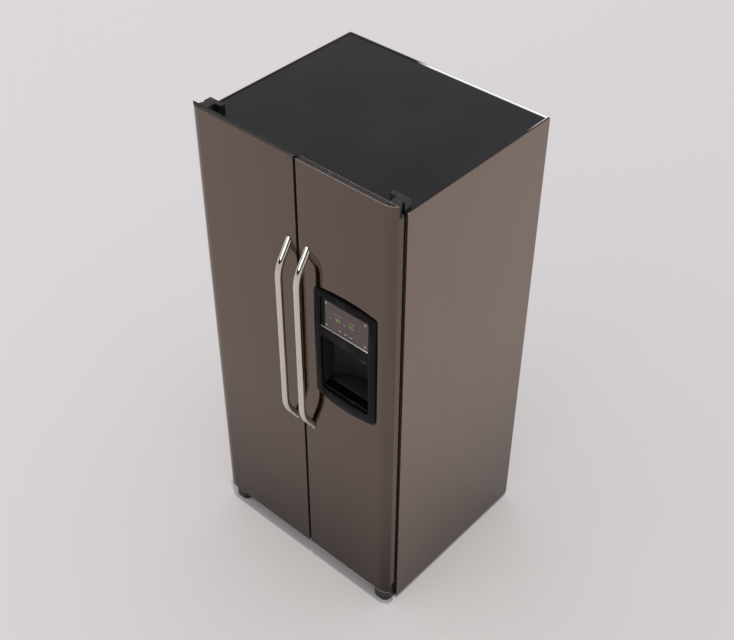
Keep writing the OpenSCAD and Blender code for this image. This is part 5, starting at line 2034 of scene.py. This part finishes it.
@dataclass
class FreshInterior(Assembly):
    """The lamp, dials, air duct and drawer trims of the fresh food side.

    Attributes:
        duct: Half the width of the air duct's cover.
        louvre: Height of one louvre.
    """

    duct: float = 46 * MM
    louvre: float = 4 * MM

    def build(self) -> None:
        """Builds the pieces of the fresh food side."""
        self._lamp()
        low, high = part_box("control_housing")
        for word, share in (("fresh_dial", 0.3), ("freezer_dial", 0.7)):
            spot = (low.x + share * (high.x - low.x), low.y, (low.z + high.z) / 2)
            Dial(self.palette, self.makers, spot).build(word)
        self._duct()
        for level in ("upper", "lower"):
            self.drawer_trim("crisper_" + level, level + "_crisper")
        for side in Side:
            self._shelf_bolts(side)

    def _lamp(self) -> None:
        """Makes the ribbed lens under the control housing."""
        low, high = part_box("control_housing")
        lens = Shape().block(
            (low.x + 24 * MM, low.y + 8 * MM, low.z - 6 * MM),
            (high.x - 24 * MM, low.y + 50 * MM, low.z + 1 * MM), 2.4 * MM, 3,
        )
        self.piece("lamp_lens", lens, "lamp_lens", "clear_plastic")
        rib = Shape().block(
            (low.x + 30 * MM, low.y + 12 * MM, low.z - 7.2 * MM),
            (high.x - 30 * MM, low.y + 14 * MM, low.z - 5.5 * MM), 0.7 * MM,
        )
        self.grid("lamp_lens_ribs", rib, "lamp_lens", "clear_plastic", 9, (0, 4.1 * MM, 0))

    def _duct(self) -> None:
        """Makes the air duct's cover on the rear wall, with louvres over each shelf."""
        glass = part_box("shelf_glass")
        middle = (glass[0].x + glass[1].x) / 2
        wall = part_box("liner_fresh")[1].y
        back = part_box("shelf_frames")[1].y
        cover = Shape().block(
            (middle - self.duct, back + 0.6 * MM, glass[0].z + 14 * MM),
            (middle + self.duct, wall - 1.4 * MM, glass[1].z + 240 * MM), 3 * MM, 3,
        )
        self.piece("duct_cover", cover, "liner_plastic", "liner_plastic")
        for i, z in enumerate(levels("shelf_glass")):
            blade = Shape().block(
                (middle - 0.74 * self.duct, back - 1.4 * MM, z + 60 * MM),
                (middle + 0.74 * self.duct, back + 1.2 * MM, z + 60 * MM + self.louvre),
                1.1 * MM, 3,
            )
            self.grid(f"duct_louvres_{i}", blade, "trim_plastic", "liner_plastic", 5,
                      (0, 0, 2.2 * self.louvre))

    def _shelf_bolts(self, side: Side) -> None:
        """Sets studs on the fresh side's walls, over the shelves' front corners.

        Args:
            side: Which wall.
        """
        low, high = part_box("shelf_frames")
        x = (low.x if side is Side.LEFT else high.x) + side.value * 1.5 * MM
        axis = Axis.X if side is Side.LEFT else Axis.BACK_X
        spots = [(x, low.y + 60 * MM, z + 22 * MM) for z in levels("shelf_glass")]
        self.screws(f"shelf_studs_{side.word}", spots, axis, 5 * MM, "trim_plastic",
                    "liner_plastic")


class FreezerInterior(Assembly):
    """The fittings round the ice maker and the baskets' trims."""

    def build(self) -> None:
        """Builds the pieces of the freezer."""
        self._ice_maker()
        self._bucket()
        self._cover()
        for level in ("upper", "lower"):
            self.drawer_trim("freezer_basket_" + level, level + "_basket")

    def _ice_maker(self) -> None:
        """Makes the ice maker's front cover, its switch and its feeler arm."""
        low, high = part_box("ice_maker")
        plate = Shape().block(
            (low.x + 0.5 * MM, low.y + 0.4 * MM, low.z + 11 * MM),
            (high.x - 0.5 * MM, low.y + 4.6 * MM, low.z + 80 * MM), 1.9 * MM, 3,
        )
        plate.block((low.x + 14 * MM, low.y - 1.6 * MM, low.z + 58 * MM),
                    (low.x + 34 * MM, low.y + 1.4 * MM, low.z + 70 * MM), 1 * MM, 3)
        self.piece("ice_maker_cover", plate, "trim_plastic", "trim_plastic")
        out = high.x + 8 * MM
        arm = [
            (high.x - 4 * MM, high.y - 24 * MM, low.z + 56 * MM),
            (out, high.y - 24 * MM, low.z + 56 * MM), (out, high.y - 52 * MM, low.z + 10 * MM),
            (out, low.y + 26 * MM, low.z + 10 * MM), (out, low.y + 14 * MM, low.z + 44 * MM),
            (high.x - 8 * MM, low.y + 14 * MM, low.z + 44 * MM),
        ]
        self.tube("feeler_arm", arm, 1.8 * MM, 9 * MM, "wire_steel", "wire_steel")

    def _bucket(self) -> None:
        """Rounds the ice bucket's rim with a bead."""
        low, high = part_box("ice_bucket")
        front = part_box("freezer_shelves")[0].y + 5 * MM
        r = 2.2 * MM
        rim = [
            (x, y, high.z - r) for x, y in (
                (low.x + r, high.y - r), (low.x + r, front + r), (high.x - r, front + r),
                (high.x - r, high.y - r),
            )
        ]
        self.tube("bucket_rim", rim, r, 8 * MM, "basket_plastic", "clear_plastic", closed=True)

    def _cover(self) -> None:
        """Sets the screws of the evaporator's cover."""
        low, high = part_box("evaporator_cover")
        face = low.y + 14 * MM
        xs = (low.x + 12 * MM, high.x - 12 * MM)
        step = (high.z - 40 * MM - low.z - 300 * MM) / 4
        spots = [(x, face, low.z + 300 * MM + i * step) for x in xs for i in range(5)]
        self.screws("cover_screws", spots, Axis.BACK_Y, 4 * MM, "bracket_steel", "bracket_steel")


@dataclass
class MachineSpace(Assembly):
    """The refrigerant tubes, the compressor's terminal box and the rear fittings.

    Attributes:
        pipe: Radius of the thicker tube.
    """

    pipe: float = 4.6 * MM

    def build(self) -> None:
        """Builds the pieces of the machine space."""
        self._tubes()
        self._terminals()
        self._fittings()

    def _tubes(self) -> None:
        """Bends the suction and discharge tubes."""
        low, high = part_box("compressor")
        y = (low.y + high.y) / 2
        floor = low.z
        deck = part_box("base_pan")[1].z - 14 * MM
        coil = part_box("condenser")[1]
        suction = [(low.x + 3 * MM, y, floor + 110 * MM), (low.x - 22 * MM, y, floor + 110 * MM),
                   (low.x - 22 * MM, y, deck)]
        self.tube("suction_tube", suction, self.pipe, 12 * MM, "copper", "auger_steel")
        discharge = [
            (low.x + 5 * MM, y + 20 * MM, floor + 90 * MM),
            (low.x - 40 * MM, y + 20 * MM, floor + 90 * MM), (low.x - 40 * MM, y + 20 * MM, deck),
            (coil.x - 8 * MM, y + 20 * MM, deck), (coil.x - 8 * MM, y + 20 * MM, coil.z - 20 * MM),
        ]
        self.tube("discharge_tube", discharge, 0.75 * self.pipe, 12 * MM, "copper", "auger_steel")

    def _terminals(self) -> None:
        """Makes the compressor's terminal box."""
        low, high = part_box("compressor")
        x = (low.x + high.x) / 2
        shape = Shape().block((x - 26 * MM, high.y - 12 * MM, low.z + 56 * MM),
                              (x + 26 * MM, high.y + 14 * MM, low.z + 104 * MM), 3 * MM, 3)
        shape.block((x - 20 * MM, high.y + 13 * MM, low.z + 62 * MM),
                    (x + 20 * MM, high.y + 16 * MM, low.z + 98 * MM), 1.2 * MM)
        self.piece("terminal_box", shape, "dark_plastic", "dark_plastic")

    def _fittings(self) -> None:
        """Puts a nut on the cord's gland and a thread on the water valve."""
        low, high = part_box("service_fittings")
        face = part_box("compressor_cover")[1].y
        x = (low.x + high.x) / 2
        nut = [(12.1, 0), (14.6, 0), (15.4, 0.8), (15.4, 4.6), (14.6, 5.4), (12.1, 5.4), (12.1, 0)]
        gland = Shape().turned([(r * MM, h * MM) for r, h in nut],
                               (x, face + 0.1 * MM, low.z + 12 * MM), Axis.Y, 6)
        self.piece("gland_nut", gland, "dark_plastic", "dark_plastic")
        ring = [(10.6, 0), (11.5, 0.6), (10.6, 1.2), (10.6, 0)]
        thread = Shape().turned([(r * MM, h * MM) for r, h in ring],
                                (x, face + 2 * MM, high.z - 16 * MM), Axis.Y, 28)
        self.grid("valve_thread", thread, "brass", "bracket_steel", 6, (0, 1.8 * MM, 0))


@dataclass
class DoorStorage(Assembly):
    """The rounded bins, dairy lid and seals on the doors' inner sides.

    Attributes:
        bin_edge: Radius of the bins' edges.
        seal_edge: Radius of the seals' edges.
    """

    bin_edge: float = 1.1 * MM
    seal_edge: float = 1.2 * MM

    def build(self) -> None:
        """Builds the pieces of the doors' inner sides."""
        self.recast("left_bins", self.bin_edge, "left_door")
        self.recast("right_bins", self.bin_edge, "right_door")
        self.recast("dairy_flap", self.bin_edge, "dairy_lid", 3)
        for side in Side:
            self.recast(side.word + "_gasket", self.seal_edge, side.word + "_door", 3)


@dataclass
class Studio:
    """A pale floor, soft light, a dark flag for the polished parts, and the camera.

    Attributes:
        azimuth: Camera's turn round the refrigerator, in degrees.
        elevation: Camera's height angle, in degrees.
        roll: Camera's roll, in degrees.
        distance: Camera's distance from the point it looks at.
        aim: That point, from the middle of the CAD box.
        lens: Focal length in millimetres.
        flag_reach: Distance of the flag from the refrigerator.
        flag_span: Heights of its lower and upper edges.
    """

    azimuth: float = 41.5980
    elevation: float = 41.0480
    roll: float = 0.2039
    distance: float = 4.24690
    aim: Point = (-0.00503, 0.02597, 0.02614)
    lens: float = 59.0482
    flag_reach: float = 7.0
    flag_span: tuple[float, float] = (1.9, 3.3)

    def build(self) -> None:
        """Builds the whole studio."""
        self._camera()
        self._floor()
        self._flag()
        self._lights()

    def _camera(self) -> None:
        """Places the camera."""
        turn, rise = math.radians(self.azimuth), math.radians(self.elevation)
        back = Vector((
            math.sin(turn) * math.cos(rise), -math.cos(turn) * math.cos(rise), math.sin(rise),
        ))
        middle = (Vector(CAD_BOX[0]) + Vector(CAD_BOX[1])) / 2
        lens = bpy.data.cameras.new("camera")
        lens.lens = self.lens
        lens.sensor_width = 36.0
        lens.clip_start, lens.clip_end = 0.05, 200.0
        camera = placed("camera", lens)
        upright = (-back).to_track_quat("-Z", "Y").to_matrix().to_4x4()
        place = Matrix.Translation(middle + Vector(self.aim) + back * self.distance)
        camera.matrix_world = place @ upright @ Matrix.Rotation(math.radians(self.roll), 4, "Z")
        bpy.context.scene.camera = camera

    def _floor(self) -> None:
        """Lays the floor."""
        recipe = Recipe("studio_floor")
        drift = recipe.noise(0.25, 2)
        # Painted light falloff: the floor's two tones blend across it with x and y.
        shade = (recipe.coordinate("X") * 0.09 - recipe.coordinate("Y") * 0.05 + 0.5).within()
        colour = recipe.blend(shade, tone(216, 208, 209), tone(205, 198, 192))
        material = recipe.surface(
            Base_Color=recipe.scaled(colour, 0.99 + drift * 0.02),
            Roughness=0.8,
            Normal=recipe.bump(recipe.noise(60, 3), 0.02, 0.001),
        )
        bm = bmesh.new()
        bmesh.ops.create_grid(bm, x_segments=8, y_segments=8, size=40.0)
        self._stand("floor", bm, material)

    def _flag(self) -> None:
        """Stands a curved dark flag round the front, which only polished parts mirror."""
        recipe = Recipe("studio_flag")
        cloth = recipe.noise(3, 3)
        material = recipe.surface(
            Base_Color=recipe.scaled((0.012, 0.012, 0.012), 0.8 + cloth * 0.4), Roughness=0.95
        )
        bm = bmesh.new()
        columns = []
        for i in range(25):
            turn = math.radians(-85 + 7.5 * i)
            x, y = self.flag_reach * math.sin(turn), -self.flag_reach * math.cos(turn)
            columns.append([bm.verts.new((x, y, z)) for z in self.flag_span])
        for first, second in zip(columns, columns[1:]):
            bm.faces.new((first[0], second[0], second[1], first[1]))
        flag = self._stand("flag", bm, material)
        for ray in ("camera", "diffuse", "transmission", "volume_scatter", "shadow"):
            setattr(flag, "visible_" + ray, False)

    @staticmethod
    def _stand(name: str, bm: bmesh.types.BMesh, material: bpy.types.Material) -> bpy.types.Object:
        """Puts a piece of the studio on the stage.

        Args:
            name: Its name.
            bm: Its mesh, which is freed.
            material: Its finish.

        Returns:
            Its object.
        """
        thing = placed(name, finished(bm, name))
        thing.data.materials.append(material)
        return thing

    @staticmethod
    def _glow() -> None:
        """Makes the world: a cool soft light, seen as a pale backdrop."""
        world = bpy.data.worlds.new("studio_glow")
        world.use_nodes = True
        bpy.context.scene.world = world
        graph = Graph(world.node_tree)
        graph.tree.nodes.clear()
        path = graph.node("ShaderNodeLightPath")
        rays = [graph.out(path, f"Is {ray} Ray") for ray in ("Camera", "Glossy", "Transmission")]
        seen = (rays[0] + rays[1] + rays[2]).within()
        light = graph.node("ShaderNodeBackground", {}, {
            "Color": (0.88, 0.935, 1.0), "Strength": 0.76,
        })
        backdrop = graph.node("ShaderNodeBackground", {}, {
            "Color": tone(214, 208, 211), "Strength": 1.0,
        })
        mix = graph.node("ShaderNodeMixShader", {}, {0: seen, 1: light, 2: backdrop})
        graph.node("ShaderNodeOutputWorld", {}, {"Surface": mix})

    def _lights(self) -> None:
        """Hangs the lights and sets the world's pale glow."""
        bpy.context.scene.view_settings.view_transform = "Standard"
        self._glow()
        self._area("front_softbox", (-1.0, -6.3, 3.85), (0.0, 0.0, 1.4), (6.2, 1.5), 60)
        self._area("left_softbox", (-5.6, -3.4, 1.9), (0.0, 0.0, 1.4), (0.5, 1.6), 5)
        self._area("right_softbox", (6.4, -1.6, 2.0), (0.3, 0.0, 1.4), (0.6, 1.6), 5)
        lamp = bpy.data.lights.new("overhead", "SUN")
        lamp.energy = 1.08
        lamp.angle = math.radians(0.6)
        lamp.color = (1.0, 0.968, 0.935)
        sun = placed("overhead", lamp)
        sun.rotation_euler = (math.radians(1.0), math.radians(1.5), 0.0)

    @staticmethod
    def spare_small_shadows() -> None:
        """Keeps the handles' and the fascia's hard shadows off the floor."""
        sun = bpy.data.objects["overhead"]
        spared = bpy.data.collections.new("no_hard_shadow")
        sun.light_linking.blocker_collection = spared
        for name in ("left_handle_tube", "right_handle_tube", "dispenser_fascia_rounded"):
            spared.objects.link(bpy.data.objects[name])
        for link in spared.collection_objects:
            link.light_linking.link_state = "EXCLUDE"

    def _area(
        self, name: str, place: Point, aim: Point, size: tuple[float, float], power: float
    ) -> None:
        """Hangs one rectangular light.

        Args:
            name: Its name.
            place: Where it hangs.
            aim: What it points at.
            size: Its width and height.
            power: Its power in watts.
        """
        lamp = bpy.data.lights.new(name, "AREA")
        lamp.shape = "RECTANGLE"
        lamp.size, lamp.size_y = size
        lamp.energy = power
        light = placed(name, lamp)
        way = Vector(aim) - Vector(place)
        turn = way.to_track_quat("-Z", "Y").to_matrix().to_4x4()
        light.matrix_world = Matrix.Translation(Vector(place)) @ turn


def main() -> None:
    """Dresses the refrigerator and sets it in the studio."""
    logging.basicConfig(level=logging.INFO, format="%(message)s")
    palette, makers = Palette(), Makers()
    palette.dress(NODES.values())
    studio = Studio()
    studio.build()
    for side in Side:
        DoorLeaf(palette, makers, side).build()
        BowHandle(palette, makers, side).build()
    for kind in (Dispenser, Hinges, Feet, CabinetShell, FreshInterior, FreezerInterior,
                 MachineSpace, DoorStorage):
        kind(palette, makers).build()
    studio.spare_small_shadows()


if __name__ == "__main__":
    main()
